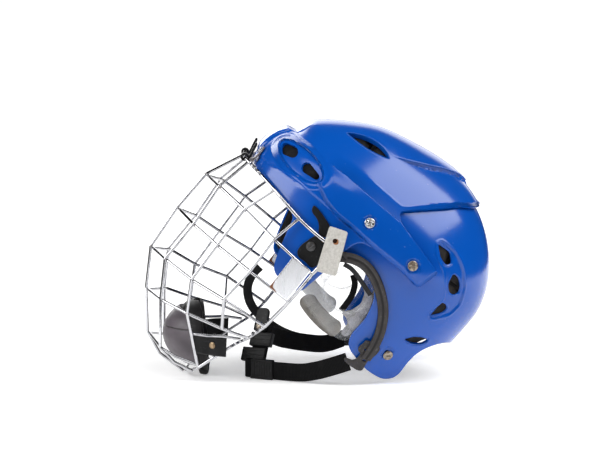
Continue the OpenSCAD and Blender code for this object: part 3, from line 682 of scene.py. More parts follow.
front_marks = [(on_wall(20, 23), on_wall(13, 16)), (on_wall(17, 25), on_wall(16, 18)),
               (on_wall(10, 12), on_wall(8, 9)), (on_wall(-14, 16), on_wall(-13, 13))]
rear_marks = [(on_wall(66, 84), on_wall(69, 79)), (on_wall(69, 83), on_wall(73, 77)),
              (on_wall(43, 30, -1), on_wall(34, 25, -1))]
BLUE_FRONT = blue_plastic("blue_plastic_front", front_marks)
BLUE_REAR = blue_plastic("blue_plastic_rear", rear_marks)
print("blue plastic ready")

# %% [markdown]
# The front shell has a raised brow, a groove across the crown's front, a raised crown panel, an arrow
# shaped wing on each side with chamfered lower edges, and an oval recess with two vents. Each is one term
# of a height, found from the distance to its drawn line.
# %% Front shell
FRONT_OUTLINE = [[-160, 0], [-130, -4], [-101, -8], [-80, -13], [-73, -18], [-68, -38], [-61, -62],
                 [-57, -69], [-52, -72], [-28, -72], [-23, -68], [-19, -44], [-16, -20], [-13, -2],
                 [-8, 5], [7, 8], [38, 7], [59, 4], [63, 6], [69, 27], [11, 44], [4, 51], [19, 64],
                 [35, 77], [51, 90], [73, 101], [76, 180], [-160, 180]]
WING_TOP = [[-96, 43], [-78, 45], [-60, 46], [-20, 44], [11, 43], [69, 27]]
WING_LOW = [[69, 27], [63, 6], [59, 4], [38, 7], [7, 8], [-23, 10], [-41, 10], [-58, 14], [-80, 26]]
BROW_LINE = [[-131, 5], [-116, 8], [-93, 11], [-67, 11], [-44, 11]]
CROWN_EDGE = [[-150, 23.5], [-104, 23], [-86, 23], [-60, 39], [-33, 56], [-12, 54], [8, 44], [28, 24],
              [44, 8], [46, 0]]
OVAL = ellipse(-99, 29, 26, 12.5, 40, tilt=2)
FRONT_VENTS = [slot_outline((-117.3, 29), 5.6, (-111.5, 31), 5.6),
               slot_outline((-92, 28), 5.2, (-80, 27.5), 3.2)]
WING_SCREWS = [(-13.0, 25.0), (45.0, 18.0)]
LOBE_SCREW = (83.0, -67.0)
TEMPLE = (-43.0, -28.0)


def plan_point(x, y, o=SHELL_O):
    """Point of the crown over a place in the plan view."""
    x, y = np.asarray(x, float), np.asarray(y, float)
    dx = x - EGG_X
    s = (np.abs(dx) / long_reach(dx, o)) ** PLAN_POW + (np.abs(y) / (HALF_W + o)) ** PLAN_POW
    q = np.maximum(0, 1 - np.minimum(s, 1) ** (CROWN_POW / PLAN_POW)) ** (1 / CROWN_POW)
    return np.stack([x, y, EGG_Z + (CROWN_H + o) * q + PITCH * dx], -1)


def plan_to_side(xy):
    return plan_point(xy[:, 0], xy[:, 1])[:, [0, 2]]


crown_plan = fillet([[x, -y] for x, y in CROWN_EDGE], 8, closed=False)
crown_chain = plan_point(*dense(crown_plan, 2.5, False).T)
crown_patch = np.vstack([crown_plan, [[46, 5], [-150, 5]]])
# the slit is drawn as a long slot in the plan view, then swollen in its middle to the form of a leaf
slit_plan = dense(slot_outline((-75.5, -42.5), 2.2, (-36, -59), 2.2, 10), 1.5)
leaf_way = unit(np.array([39.5, -16.5]))
from_middle = slit_plan - slit_plan.mean(0)
along = from_middle @ leaf_way
across = from_middle - np.outer(along, leaf_way)
swell = 0.2 + 2.6 * np.clip(1 - (along / 23.5) ** 2, 0, 1)
slit_plan = slit_plan.mean(0) + np.outer(along, leaf_way) + across * swell[:, None]
SLIT = plan_to_side(dense(slit_plan, 1.2))
slit_chain = plan_point(*np.vstack([slit_plan, slit_plan[:1]]).T)

LEDGE = [[4, 51], [19, 64], [35, 77], [51, 90], [73, 101], [76, 112]]
FRONT_EDGE = fillet(FRONT_OUTLINE, 3.5)
top_drawn, low_drawn, brow_drawn, ledge_drawn = (
    fillet(points, radius, False) for points, radius in ((WING_TOP, 6), (WING_LOW, 3), (BROW_LINE, 6), (LEDGE, 3)))
wing_top, wing_low, ledge = (Line(drawn, closed=False) for drawn in (top_drawn, low_drawn, ledge_drawn))
wing_zone = np.vstack([WING_LOW, [[-80, 120], [90, 120], [90, 27]]])
front_line, oval = Line(FRONT_EDGE), Line(OVAL)


def on_near_side(p):
    """The points as they are, or mirrored when they lie on the far side."""
    return p * [1, -1, 1] if p[0, 1] > 0 else p


def screw_seat(x, z, spot):
    """Shallow round countersink for a screw head."""
    return 0.9 * smooth((7.0 - np.hypot(x - spot[0], z - spot[1])) / 0.9)


def front_rise(p):
    """How far the front shell's outer face stands above its plain form."""
    x, y, z = p[:, 0], np.abs(p[:, 1]), p[:, 2]
    side = on_near_side(p)
    # the wing, with its chamfer below and its fade above
    low = wing_low.away(side) * np.where(inside(side[:, [0, 2]], wing_zone), 1, 0)
    above = wing_top.away(side) * (z > np.interp(x, *np.transpose(WING_TOP)))
    total = 2.4 * smooth(low / 4.2) * np.clip(1 - above / 16, 0, 1) * smooth((x + 86) / 46)
    # the raised brow, its top edge, and the groove behind it
    brow_share = smooth((z - np.interp(x, *np.transpose(BROW_LINE))) / 2.2)
    total += 1.5 * brow_share * (1 - smooth((z - 34) / 12)) * (1 - smooth((x + 52) / 26))
    centre = smooth((24.5 - y) / 3.0)
    dip = np.where(z < 48.5, smooth((z - 43.6) / 4.9), 1 - smooth((z - 48.5) / 17))
    groove = (4.2 + 2.2 * centre) * dip * (1 - smooth((y - 24) / 52)) * (x < -50)
    behind_groove = np.where(x >= -60, 1.0, (z > 48.5) * smooth((z - 52) / 12))
    panel = 2.6 * centre * smooth((z - 6) / 10) * (x < -60) * (1 - behind_groove)
    total += panel - groove
    # the crown panel with its crisp rear border, which fades out towards the front
    crown_in = far_from(side, crown_chain) * np.where(inside(np.stack([x, -y], 1), crown_patch), 1, -1)
    gentle = smooth((2 - x) / 34)
    share = smooth(crown_in / 3.4) * (1 - gentle) + (1 - smooth(y / 66)) * gentle
    total += (3.0 + 2.2 * bell((x + 52) / 24)) * share * behind_groove
    total -= 0.8 * (1 - smooth(far_from(side, slit_chain) / 3.0)) * (1 - smooth(crown_in / 3.0))
    # the oval recess with its rim, the ledge over the ear, and the seats of the screws
    d = oval.depth(side)
    total += 0.25 * bell((d + 5.0) / 2.6) + 0.6 * bell((d + 0.8) / 0.7) - 1.7 * smooth((d + 0.2) / 2.0)
    total += 1.3 * smooth((4.7 - ledge.away(side)) / 1.3) * smooth((x - 2) / 7)
    return total - sum(screw_seat(x, z, spot) for spot in WING_SCREWS)


def front_outer(p):
    return SHELL_O + front_rise(p) - rounding(front_line.away(p), 0.9)


def front_inner(p):
    return np.minimum(0.0, front_rise(p) + SHELL_O - 2.4)


crown_front = plan_to_side(dense(crown_plan[crown_plan[:, 0] > -112], 1.3, False))
ridge_lines = [dense(drawn, 1.3, False) for drawn in (top_drawn, low_drawn, brow_drawn)]
ridge_lines += [crown_front, np.vstack([OVAL, OVAL[:1]]), dense(ledge_drawn, 1.2, False),
                dense([[-133, 46.5], [-92, 46.5]], 1.3, False)]
shell_holes = FRONT_VENTS + [SLIT] + [round_hole(*spot, 2.6) for spot in WING_SCREWS] + [round_hole(*TEMPLE, 2.4)]
shell = moulded_sheet("helmet_front_shell", FRONT_EDGE, shell_holes, ridge_lines,
                      front_outer, front_inner, BLUE_FRONT)
assign(shell, "shell", "front_shell")

# %% [markdown]
# The rear shell slides under the front one. It carries the long neck line, the lobes that the helmet rests
# on, and a crescent recess with three vents whose rims catch the light.
# %% Rear shell
REAR_OUTLINE = [[-24, -13], [-10, -15], [13, -11], [28, -20], [38, -34], [43, -53], [42, -76], [46, -84],
                [53, -88], [72, -93], [84, -94], [99, -92.5], [107, -86.14], [109.5, -78], [108, -64],
                [109, -52], [113, -42], [121, -32], [131, -25], [170, -24], [170, 140], [60, 140],
                [60, 107], [40, 94], [22, 80], [-6, 50], [-24, 24]]
CRESCENT = [[52, 50], [55, 56], [75, 55], [91, 47], [105, 33], [112.5, 15], [110.5, 0], [97, -14], [91, -12],
            [93, 1], [95, 10], [87, 21], [76, 33], [62, 40]]
REAR_VENTS = [fillet(*drawn) for drawn in (
    ([[54.5, 51.5], [70, 52], [79, 43.5], [74.5, 39], [65, 42]], 3.5),
    ([[86.5, 37], [94, 36.5], [101, 31], [104.5, 23.5], [101, 18.5], [94.5, 19], [88.5, 25]], 4),
    ([[95.5, 6], [101.5, 6.8], [105, 3], [103, -3], [98.6, -8], [94.5, -12.0], [95, -3]], 2.5),
    ([[87.5, -46], [94, -38.4], [102.5, -33.4], [110.5, -32.2], [108, -39], [101.5, -43.8], [94.7, -46]], 3))]
REAR_EDGE = fillet(REAR_OUTLINE, 5)
crescent, rear_line = Line(fillet(CRESCENT, 4)), Line(REAR_EDGE)
vent_lines = [Line(v) for v in REAR_VENTS]
ear_edge = Line([[13, -11], [28, -20], [38, -34], [43, -53], [42, -76], [46, -84], [53, -88]], closed=False)


def rear_outer(p):
    side = on_near_side(p)
    d = crescent.depth(side)
    rise = -1.7 * smooth((d + 0.2) / 2.2) + 0.5 * bell((d + 0.9) / 0.8)
    gap = np.min([v.away(side) for v in vent_lines], 0)
    rise += 0.45 * bell((gap - 1.2) / 0.8) - 0.5 * (1 - smooth(gap / 1.2))
    rise += 0.45 * bell(ear_edge.away(side) / 2.0) - screw_seat(side[:, 0], side[:, 2], LOBE_SCREW)
    return -1.5 + rise - rounding(rear_line.away(p), 0.9)


def flat_at(offset):
    """Height function of a face with no relief."""
    return lambda p: np.full(len(p), offset)


rear = moulded_sheet("helmet_rear_shell", REAR_EDGE, REAR_VENTS + [round_hole(*LOBE_SCREW, 2.4)],
                     [fillet(CRESCENT, 4)], rear_outer, flat_at(-4.5), BLUE_REAR)
assign(rear, "rear", "rear_shell")

# %% [markdown]
# The cage is bent from chromed steel wire and spot welded where the wires cross. Each wire follows a few
# straight runs with tight bends, so a small Geometry Nodes tree makes them all: it turns the drawn line
# into a curve, rounds its corners and sweeps a circle along it.
# %% Wire tree
def new_tree(name, inputs):
    tree = bpy.data.node_groups.new(name, "GeometryNodeTree")
    tree.interface.new_socket("Geometry", in_out="INPUT", socket_type="NodeSocketGeometry")
    names = {}
    for label, kind in inputs:
        names[label] = tree.interface.new_socket(label, in_out="INPUT", socket_type=kind).identifier
    tree.interface.new_socket("Geometry", in_out="OUTPUT", socket_type="NodeSocketGeometry")
    entry = tree.nodes.new("NodeGroupInput")
    return tree, [Sock(tree, s) for s in entry.outputs], names


def end_tree(tree, parts, material):
    whole = node(tree, "GeometryNodeRealizeInstances", {}, {0: parts})
    soft = node(tree, "GeometryNodeSetShadeSmooth", {}, {0: whole})
    dressed = node(tree, "GeometryNodeSetMaterial", {}, {"Geometry": soft, "Material": material})
    tree.links.new(dressed.output, tree.nodes.new("NodeGroupOutput").inputs[0])


wire_tree, wire_in, WIRE_INPUTS = new_tree("bent_wire", [
    ("Wire radius", "NodeSocketFloat"), ("Corner radius", "NodeSocketFloat"), ("Sides", "NodeSocketInt"),
    ("Finish", "NodeSocketMaterial")])
line_curve = node(wire_tree, "GeometryNodeMeshToCurve", {}, {0: wire_in[0]})
bent = node(wire_tree, "GeometryNodeFilletCurve", {"mode": "POLY"},
            {"Curve": line_curve, "Radius": wire_in[2], "Limit Radius": True, "Count": 4})
ring = node(wire_tree, "GeometryNodeCurvePrimitiveCircle", {"mode": "RADIUS"},
            {"Resolution": wire_in[3], "Radius": wire_in[1]})
tube = node(wire_tree, "GeometryNodeCurveToMesh", {}, {"Curve": bent, "Profile Curve": ring, "Fill Caps": True})
end_tree(wire_tree, tube, wire_in[4])


def grown(name, verts, edges, tree, inputs, values, material, attributes=None):
    """Plain mesh of what a tree makes of some points and lines, in metres."""
    mesh = bpy.data.meshes.new(name + "_lines")
    mesh.from_pydata([tuple(v) for v in verts], edges, [])
    for key, vectors in (attributes or {}).items():
        mesh.attributes.new(key, "FLOAT_VECTOR", "POINT").data.foreach_set("vector", np.ravel(vectors))
    carrier = bpy.data.objects.new(name, mesh)
    SCENE.collection.objects.link(carrier)
    modifier = carrier.modifiers.new("tree", "NODES")
    modifier.node_group = tree
    for key, value in values.items():
        modifier[inputs[key]] = value
    done = evaluated_mesh(carrier)
    carrier.modifiers.remove(modifier)
    carrier.data = done
    done.name = name
    done.materials.clear()
    done.materials.append(material)
    turned_out(done, 1e-6)
    return carrier


def wires(name, lines, radius, material, corner=2.5):
    """Wires along lines given in metres, radius in millimetres."""
    verts, edges = [], []
    for line in lines:
        line = dense(line, 0.004, False)
        edges += [(len(verts) + i, len(verts) + i + 1) for i in range(len(line) - 1)]
        verts += [tuple(p) for p in line]
    return grown(name, verts, edges, wire_tree, WIRE_INPUTS, {
        "Wire radius": radius / 1000, "Corner radius": corner / 1000, "Sides": 14, "Finish": material}, material)


print("wire tree ready")

# %% [markdown]
# Chrome is a mirror with very little roughness. Where the welds burnt it and at the lowest wires it has
# pitted and rusted, so every wire carries a rust amount that grows towards its welds.
# %% Chrome and rust
def chrome(name):
    f = Finish(name)
    blotch = f.noise(330, 4, 0.6)
    fine = f.noise(1500, 3, 0.6)
    rust = (f.attribute("rust") * 0.5 + blotch * 0.55 + fine * 0.2).step(0.80, 0.88)
    stain = f.noise(90, 3).step(0.5, 0.75)
    metal = f.mix(stain, (0.56, 0.56, 0.58), (0.36, 0.36, 0.38))
    brown = f.mix(fine, (0.30, 0.085, 0.022), (0.10, 0.035, 0.014))
    rough = 0.06 + stain * 0.09 + rust * 0.62
    return f.done(f.mix(rust, metal, brown), rough, metal=1 - rust * 0.9,
                  normal=f.bump(fine * rust + blotch * 0.05, 0.0003, 0.6))


CHROME = chrome("cage_chrome")
AXIS_X = EGG_X - (FRONT_L + 3.0) - 8
WIRE_R, FRAME_R, SUNK = 1.55, 1.8, 2.6
V0 = [[AXIS_X, 0, -3.4], [-162, 0, -43], [-164, 0, -87], [-161, 0, -134], [-139, 0, -170], [-111, 0, -204],
      [-88, 0, -214], [-58, 0, -213.6]]
V1 = [[-138, -43, -4], [-146, -44, -41], [-143, -45, -86], [-144, -46, -130], [-123, -47, -164],
      [-94, -49, -202], [-74, -49, -205], [-54, -48, -201]]
V2 = [[-103, -74, -8], [-114, -67, -42], [-113, -65, -86], [-112, -64, -128], [-95, -63, -157],
      [-53, -58, -194]]
V3 = [[-68, -93, -14], [-75, -93, -45], [-74, -91, -84], [-77, -90, -121], [-60, -80, -146]]
FRAME_NEAR = [[-29, -86, -118], [-27, -101, -82], [-26, -103.4, -48], [-24, -103.4, -24],
              [-30, -103.4, -16], [-46, -100.5, -15.5], [-68, -93, -14], [-103, -75.5, -8],
              [-127, -53, -5], [-139, -43, -4], [AXIS_X, -36.5, -3.4]]
CHIN_NEAR = [[-29, -86, -118], [-33, -72, -137], [-40, -63.5, -154], [-53, -58, -193.5],
             [-54.5, -48, -198.6], [-56.2, -24, -207.5], [-57, 0, -211]]
CROSS_ENDS = [[-26, -104, -48], [-27, -101, -83], [-29, -86, -118], [-34, -70, -139]]


def mirrored_line(p):
    p = np.asarray(p, float)
    return np.vstack([p, p[-2::-1] * [1, -1, 1]])


def flipped(p):
    return np.asarray(p, float) * [1, -1, 1]


def inward(p):
    """A crossing wire's place at a weld: sunk behind the upright one."""
    return np.array(p, float) + unit(np.array([-20 - p[0], -p[1], 0.0])) * SUNK


uprights = [np.array(V0, float)] + [q for v in (V1, V2, V3) for q in (np.array(v, float), flipped(v))]
crossing = [mirrored_line([CROSS_ENDS[i - 1]] + [inward(v[i]) for v in (V3, V2, V1, V0)]) for i in (1, 2, 3, 4)]
crossing.append(mirrored_line([[-55, -57.5, -192], [-76, -54, -199], inward(V1[5]), inward(V0[5])]))
frame_half = through(FRAME_NEAR, 4)
frame_wire = np.vstack([frame_half, flipped(frame_half[::-1])])
chin_wire = through(mirrored_line(CHIN_NEAR), 4)
welds = np.vstack(uprights + [c[1:-1] for c in crossing] + [CROSS_ENDS, flipped(CROSS_ENDS)])
WELD_REACH, FLOOR_REACH, FLOOR_RUST = 0.0032, 0.02, 0.35


def rusted(made, lowest=True):
    """Adds the rust amount of each point, strongest at the welds and, if asked, near the ground."""
    co = points_of(made)
    gap = np.min([np.linalg.norm(co - s, axis=1) for s in world_of(welds)], 0)
    amount = bell(gap / WELD_REACH)
    if lowest:
        amount = np.maximum(amount, FLOOR_RUST * (1 - smooth(co[:, 2] / FLOOR_REACH)))
    keep_value(made, "rust", amount)
    return made


for name, lines, radius, corner, cad in (
        ("cage_frame_wire", [frame_wire], FRAME_R, 0.5, "cage_frame"),
        ("cage_upright_wires", uprights, WIRE_R, 3.0, "cage_verticals"),
        ("cage_crossing_wires", crossing, WIRE_R, 3.0, "cage_cross_wires"),
        ("cage_chin_wires", [chin_wire], WIRE_R, 0.5, "cage_chin_wire")):
    made = rusted(wires(name, [world_of(line) for line in lines], radius, CHROME, corner))
    assign(made, "cage", cad)
    print(name, len(made.data.polygons), "faces")

# %% [markdown]
# Screws repeat, so one head is modelled as a turned button with a slot, and a tree puts it on each place,
# turned to the wall's normal. The heads sit in round countersinks of the shell, which leaves a dark ring.
# %% Screw heads
def polar_faces(rings, segments):
    """Faces of a round net: a fan round point 0, then rings of quads outwards."""
    follow = [(k + 1) % segments for k in range(segments)]
    faces = [(0, 1 + k, 1 + follow[k]) for k in range(segments)]
    for start in range(1, 1 + (rings - 1) * segments, segments):
        faces += [(start + k, start + k + segments, start + follow[k] + segments, start + follow[k])
                  for k in range(segments)]
    return faces


def button(radius, height, slot_w, slot_d, rings=12, segments=40, skirt=0.9, cross=False):
    """Screw head from a polar net, in millimetres, with its underside at zero."""
    def cut(off):
        return 1 - smooth((abs(off) - slot_w * 0.35) / (slot_w * 0.4))

    turns = [2 * math.pi * (k + 0.5) / segments for k in range(segments)]
    verts = [(0, 0, height - slot_d)]
    for i in range(1, rings + 1):
        r = radius * i / rings
        dome = height - (height - skirt) * (i / rings) ** 2.6
        for a in turns:
            x, y = r * math.cos(a), r * math.sin(a)
            dip = (max(cut(x), cut(y)) if cross else cut(y)) * (1 - smooth((r - radius * 0.72) / (radius * 0.14)))
            verts.append((x, y, dome - slot_d * float(dip)))
    for grow, z in ((1.02, skirt * 0.5), (1.0, 0.0), (0.55, -0.2)):
        verts += [(radius * grow * math.cos(a), radius * grow * math.sin(a), z) for a in turns]
    faces = polar_faces(rings + 3, segments)
    last = 1 + (rings + 2) * segments
    verts.append((0, 0, -0.2))
    return verts, faces + [(last + k, len(verts) - 1, last + (k + 1) % segments) for k in range(segments)]


screw_tree, screw_in, SCREW_INPUTS = new_tree("screws_in_place", [
    ("Head", "NodeSocketObject"), ("Finish", "NodeSocketMaterial")])
head_shape = node(screw_tree, "GeometryNodeObjectInfo", {}, {"Object": screw_in[1]}, out="Geometry")
facing, turn_by = (node(screw_tree, "GeometryNodeInputNamedAttribute", {"data_type": "FLOAT_VECTOR"}, {"Name": key})
                   for key in ("facing", "spin"))
stand_up = node(screw_tree, "FunctionNodeAlignEulerToVector", {"axis": "Z"}, {"Vector": facing})
spun = node(screw_tree, "FunctionNodeRotateEuler", {"space": "LOCAL"}, {"Rotation": stand_up, "Rotate By": turn_by})
placed = node(screw_tree, "GeometryNodeInstanceOnPoints", {},
              {"Points": screw_in[0], "Instance": head_shape, "Rotation": spun})
end_tree(screw_tree, placed, screw_in[2])


def screws(name, places, normals, head, material):
    """The same head on each place, metres, facing the normals, each turned by another amount."""
    shape = bpy.data.objects.new(name + "_head", bpy.data.meshes.new(name + "_head"))
    shape.data.from_pydata([tuple(np.array(v) / 1000) for v in head[0]], [], head[1])
    SCENE.collection.objects.link(shape)
    made = grown(name, places, [], screw_tree, SCREW_INPUTS, {"Head": shape, "Finish": material}, material,
                 {"facing": normals, "spin": [(0, 0, 0.4 + 1.3 * i) for i in range(len(places))]})
    bpy.data.objects.remove(shape)
    return made


def worn_steel(name, colour, dirt, rough):
    f = Finish(name)
    blotch = f.noise(700, 4, 0.6)
    grime = f.noise(420, 3).step(0.42, 0.66)
    return f.done(f.mix(grime * 0.8, f.mix(blotch, colour, tuple(0.7 * c for c in colour)), dirt),
                  rough + grime * 0.35, metal=1 - grime * 0.5, normal=f.bump(blotch, 0.0002, 0.5))


BRIGHT_SCREW = worn_steel("bright_screw", (0.80, 0.81, 0.84), (0.22, 0.17, 0.13), 0.2)
BRONZE_SCREW = worn_steel("dull_bronze_screw", (0.42, 0.36, 0.29), (0.12, 0.08, 0.05), 0.32)
DARK_SCREW = worn_steel("black_screw", (0.10, 0.10, 0.105), (0.05, 0.045, 0.04), 0.35)
TRUSS = button(4.9, 1.7, 1.5, 0.8, cross=True)

for name, (x, z), o, head, material, body, cad in (
        ("wing_screws_front", WING_SCREWS[0], 5.0, TRUSS, BRIGHT_SCREW, "shell", "shell_screws"),
        ("wing_screws_rear", WING_SCREWS[1], 5.0, TRUSS, BRONZE_SCREW, "shell", None),
        ("lobe_screws_slotted", LOBE_SCREW, -1.7, button(4.8, 1.6, 1.5, 0.8), BRONZE_SCREW, "rear", "lobe_screws"),
        ("temple_screws_black", TEMPLE, 5.0, button(4.6, 1.6, 1.2, 0.8), DARK_SCREW, "shell", "temple_screws")):
    at, way = (np.array([p, flipped(p)]) for p in (on_side(x, z, o), side_normal(x, z)))
    assign(screws(name, world_of(at), way_of(way), head, material), body, cad)
print("screws in place")

# %% [markdown]
# Small moulded plates, straps and bands are cut or swept from outlines too. The helpers below make a plate
# with rounded edges, which a function puts in its place, and a band that follows a path with any section.
# %% Plates and bands
def plate(name, outline, thickness, place, material, holes=(), edge=0.4):
    """Plate with rounded edges, drawn flat in millimetres, which a function of its points puts in place."""
    loops = [dense(outline, 1.2)] + [np.asarray(h, float) for h in holes]
    low, high = loops[0].min(0), loops[0].max(0)
    grid = np.stack(np.meshgrid(*(np.arange(low[i], high[i], 1.2) for i in (0, 1))), -1).reshape(-1, 2)
    grid = grid[from_loops(grid, loops) > 0.5]
    rings = [loop + way * sideways(loop) * edge * t for loop in loops for way in (-1, 1) for t in (0.3, 1.0)]
    flat, tris = triangulated(loops, np.vstack(rings + [grid]), 1e-5, 1e-9)
    drop = rounding(from_loops(flat, loops), edge)
    both = [np.column_stack([flat, height]) for height in (thickness - drop, drop)]
    made = piece_of(name, place(np.vstack(both)), closed_faces(tris, rim_of(tris), len(flat)), material)
    layer = made.data.uv_layers.new(name="UVMap")
    layer.data.foreach_set("uv", np.ravel([flat[l.vertex_index % len(flat)] / 1000 for l in made.data.loops]))
    return made


def from_frame(point, a, b, n):
    """Place function for a plate on a frame of the wall."""
    return lambda co: world_of(point + np.asarray(co, float) @ np.array([a, b, n]))


def swept(name, path, outs, section, material):
    """Closed band of a section, outwards and across, along a path; one section for all points or one each."""
    ahead = unit(np.gradient(path, axis=0))
    a = unit(outs - ahead * np.sum(outs * ahead, 1, keepdims=True))
    b = np.cross(ahead, a)
    verts = path[:, None] + a[:, None] * section[..., :1] + b[:, None] * section[..., 1:]
    n, s = verts.shape[:2]
    faces = [(i * s + k, i * s + (k + 1) % s, (i + 1) * s + (k + 1) % s, (i + 1) * s + k)
             for i in range(n - 1) for k in range(s)]
    faces += [tuple(range(s))[::-1], tuple((n - 1) * s + k for k in range(s))]
    return piece_of(name, verts.reshape(-1, 3), faces, material)


def run_of(path):
    """Length of a path up to each of its points."""
    return np.concatenate([[0], np.cumsum(np.linalg.norm(np.diff(path, axis=0), axis=1))])


def band(name, path, outs, section, material):
    """Closed section swept along a path in metres, with the length and the section's run as its UV map."""
    path, outs, section = np.asarray(path, float), np.asarray(outs, float), np.asarray(section, float) / 1000
    made = swept(name, path, outs, section, material)
    run, s = run_of(path), len(section)
    layer = made.data.uv_layers.new(name="UVMap")
    layer.data.foreach_set("uv", [value for face in made.data.polygons for v in face.vertices
                                  for value in (run[v // s], section[v % s, 1])])
    turned_out(made.data)
    made.data.set_sharp_from_angle(angle=math.radians(50))
    return made


def strip_section(width, thickness, edge=0.6, ridges=()):
    """Section of a flat strip with rounded edges, first value outwards, and ridges (place, width, height)."""
    half, mid = width / 2, thickness / 2
    top = [(thickness + sum(h * float(1 - smooth(abs(w - spot) / wide)) for spot, wide, h in ridges), w)
           for w in np.linspace(-half + edge, half - edge, 25)]
    turns = np.linspace(0.3, math.pi - 0.3, 5)
    right = [(mid + mid * math.cos(t), half - edge + edge * math.sin(t)) for t in turns]
    bottom = [(0, w) for w in np.linspace(half - edge, -half + edge, 9)]
    left = [(mid - mid * math.cos(t), -half + edge - edge * math.sin(t)) for t in turns]
    return top + right + bottom + left


print("plate and band ready")

# %% [markdown]
# The liner is closed cell foam, glued in as pads with channels between them. Dark pads line the front and
# the crown, and a paler, dirty pad lies round the back of the head. Each pad is crowned and rounded.
# %% Liner pads
def foam_finish(name, light, dark, dirt):
    f = Finish(name)
    cells = f.add("ShaderNodeTexVoronoi", {"feature": "F1"}, {"Vector": f.place, "Scale": 900.0})
    blotch = f.noise(45, 4, 0.6)
    smudge = f.noise(140, 3).step(0.45, 0.75)
    colour = f.mix(blotch.step(0.35, 0.7), light, dark)
    colour = f.mix(smudge * 0.6, colour, dirt)
    return f.done(colour, 0.85 - smudge * 0.12, normal=f.bump(cells * 0.5 + blotch * 0.5, 0.0006, 0.5),
                  Specular_IOR_Level=0.15)


DARK_FOAM = foam_finish("charcoal_foam", (0.012, 0.012, 0.013), (0.006, 0.006, 0.006), (0.028, 0.022, 0.018))
BACK_FOAM = foam_finish("back_foam", (0.022, 0.021, 0.022), (0.010, 0.010, 0.010), (0.045, 0.036, 0.028))


def pad(name, outline, body, cad, holes=()):
    """Liner pad behind the shell of its body, crowned towards the head and rounded along its edge."""
    outer_o, material = (-0.15, DARK_FOAM) if body == "shell" else (-4.65, BACK_FOAM)
    shape = fillet(outline, 7)
    line = Line(shape)

    def fallen(p):
        return 1 - smooth(line.away(p) / 6.5) ** 0.6

    made = moulded_sheet(name, shape, list(holes), [], lambda p: outer_o - 0.2 - 3.2 * fallen(p),
                         lambda p: outer_o - PAD_THICK + 0.6 + (PAD_THICK - 6.5) * 0.55 * fallen(p), material,
                         coarse=4.0, fine=2.2, edge_steps=(0.6, 1.5, 3.0), reach=6.0)
    assign(made, body, cad)


PAD_THICK = 13
EAR_CHANNEL = slot_outline((45, 18), 8.8, (51.9, 16.8), 8.8)
pad("liner_brow_pads", [[-170, 5], [-128, 2], [-101, -2], [-84, -7], [-80, 20], [-78, 39], [-110, 42], [-170, 42]],
    "shell", "front_liner")
pad("liner_temple_pads", [[-79, -12], [-75, -20], [-70, -38], [-65, -58], [-59, -67], [-38, -68], [-36, -20],
                          [-38, 22], [-42, 40], [-73, 40]], "shell", None)
pad("liner_crown_pads_front", [[-160, 71], [-62, 71], [-58, 78], [-54, 130], [-160, 130]], "shell", "crown_liner")
pad("liner_crown_pads_rear", [[-52, 70], [-24, 58], [-10, 70], [6, 84], [24, 96], [40, 130], [-50, 130]],
    "shell", None)
pad("liner_ear_pads", [[6, 41], [6, 6], [30, 2], [48, -8], [56, -30], [57, -72], [61, -82], [84, -86], [86, -40],
                       [80, 20], [70, 60], [50, 80], [30, 72]], "rear", "rear_liner", [EAR_CHANNEL])
pad("liner_neck_pads", [[88, -86], [99, -84], [103, -76], [102, -62], [104, -50], [110, -38], [128, -21],
                        [170, -20], [170, 26], [84, 26], [90, -40]], "rear", None)
pad("liner_back_pads", [[83, 30], [170, 30], [170, 140], [72, 140], [66, 104], [54, 94], [74, 62]],
    "rear", None)
print("liner pads ready")

# %% [markdown]
# The clear guards are thin polycarbonate. What shows on the real ones are their cut edges, faint scratches
# and a faint haze, so the finish is nearly see-through except close to an edge, where it is painted dark as
# shade. The distance to the drawn edges is kept on the mesh as an attribute, which the shader reads.
# %% Clear ear guards
GUARD_EDGE = [[-31, -22], [-26, -10], [-10, -7], [12, -5], [28, -9], [38, -17], [44, -30], [47, -46], [48, -64],
              [46, -78], [42, -86], [30, -89], [14, -88], [-2, -85], [-16, -80], [-26, -73], [-31, -62], [-32, -42]]
guard_hole = ellipse(11, -44, 21.5, 18.5, 48)
f = Finish("clear_guard_plastic")
rim_painted_shade = f.attribute("rim")
haze = f.noise(60, 4, 0.6).step(0.35, 0.75)
hairs = f.noise(500, 2, 0.5, stretch=(1, 0.08, 1)).step(0.62, 0.72)
# Close to an edge the colour turns near black and nearly opaque: painted shade at the cut edges.
CLEAR = f.done(f.mix(rim_painted_shade, (0.86, 0.88, 0.90), (0.07, 0.07, 0.08)), 0.08 + haze * 0.1 + hairs * 0.2,
               IOR=1.58, Alpha=0.05 + haze * 0.07 + hairs * 0.08 + rim_painted_shade * 0.80)
guard_edge = fillet(GUARD_EDGE, 5)
GUARD_OUT, GUARD_IN = -6.5, -8.3
guards = moulded_sheet("ear_guard_plates", guard_edge, [guard_hole], [], flat_at(GUARD_OUT), flat_at(GUARD_IN), CLEAR,
                       coarse=4.0, fine=1.4, edge_steps=(0.5, 1.0, 2.0), reach=3.0)
w = wearer_of(points_of(guards))
w[:, 1] = -np.abs(w[:, 1])
gap = np.min([Line(drawn, lift=(GUARD_OUT + GUARD_IN) / 2).away(w) for drawn in (guard_edge, guard_hole)], 0)
RIM_SHADE_WIDTH = 1.5
keep_value(guards, "rim", 1 - smooth(gap / RIM_SHADE_WIDTH))
assign(guards, "shell", "ear_guards")
print("guards ready")

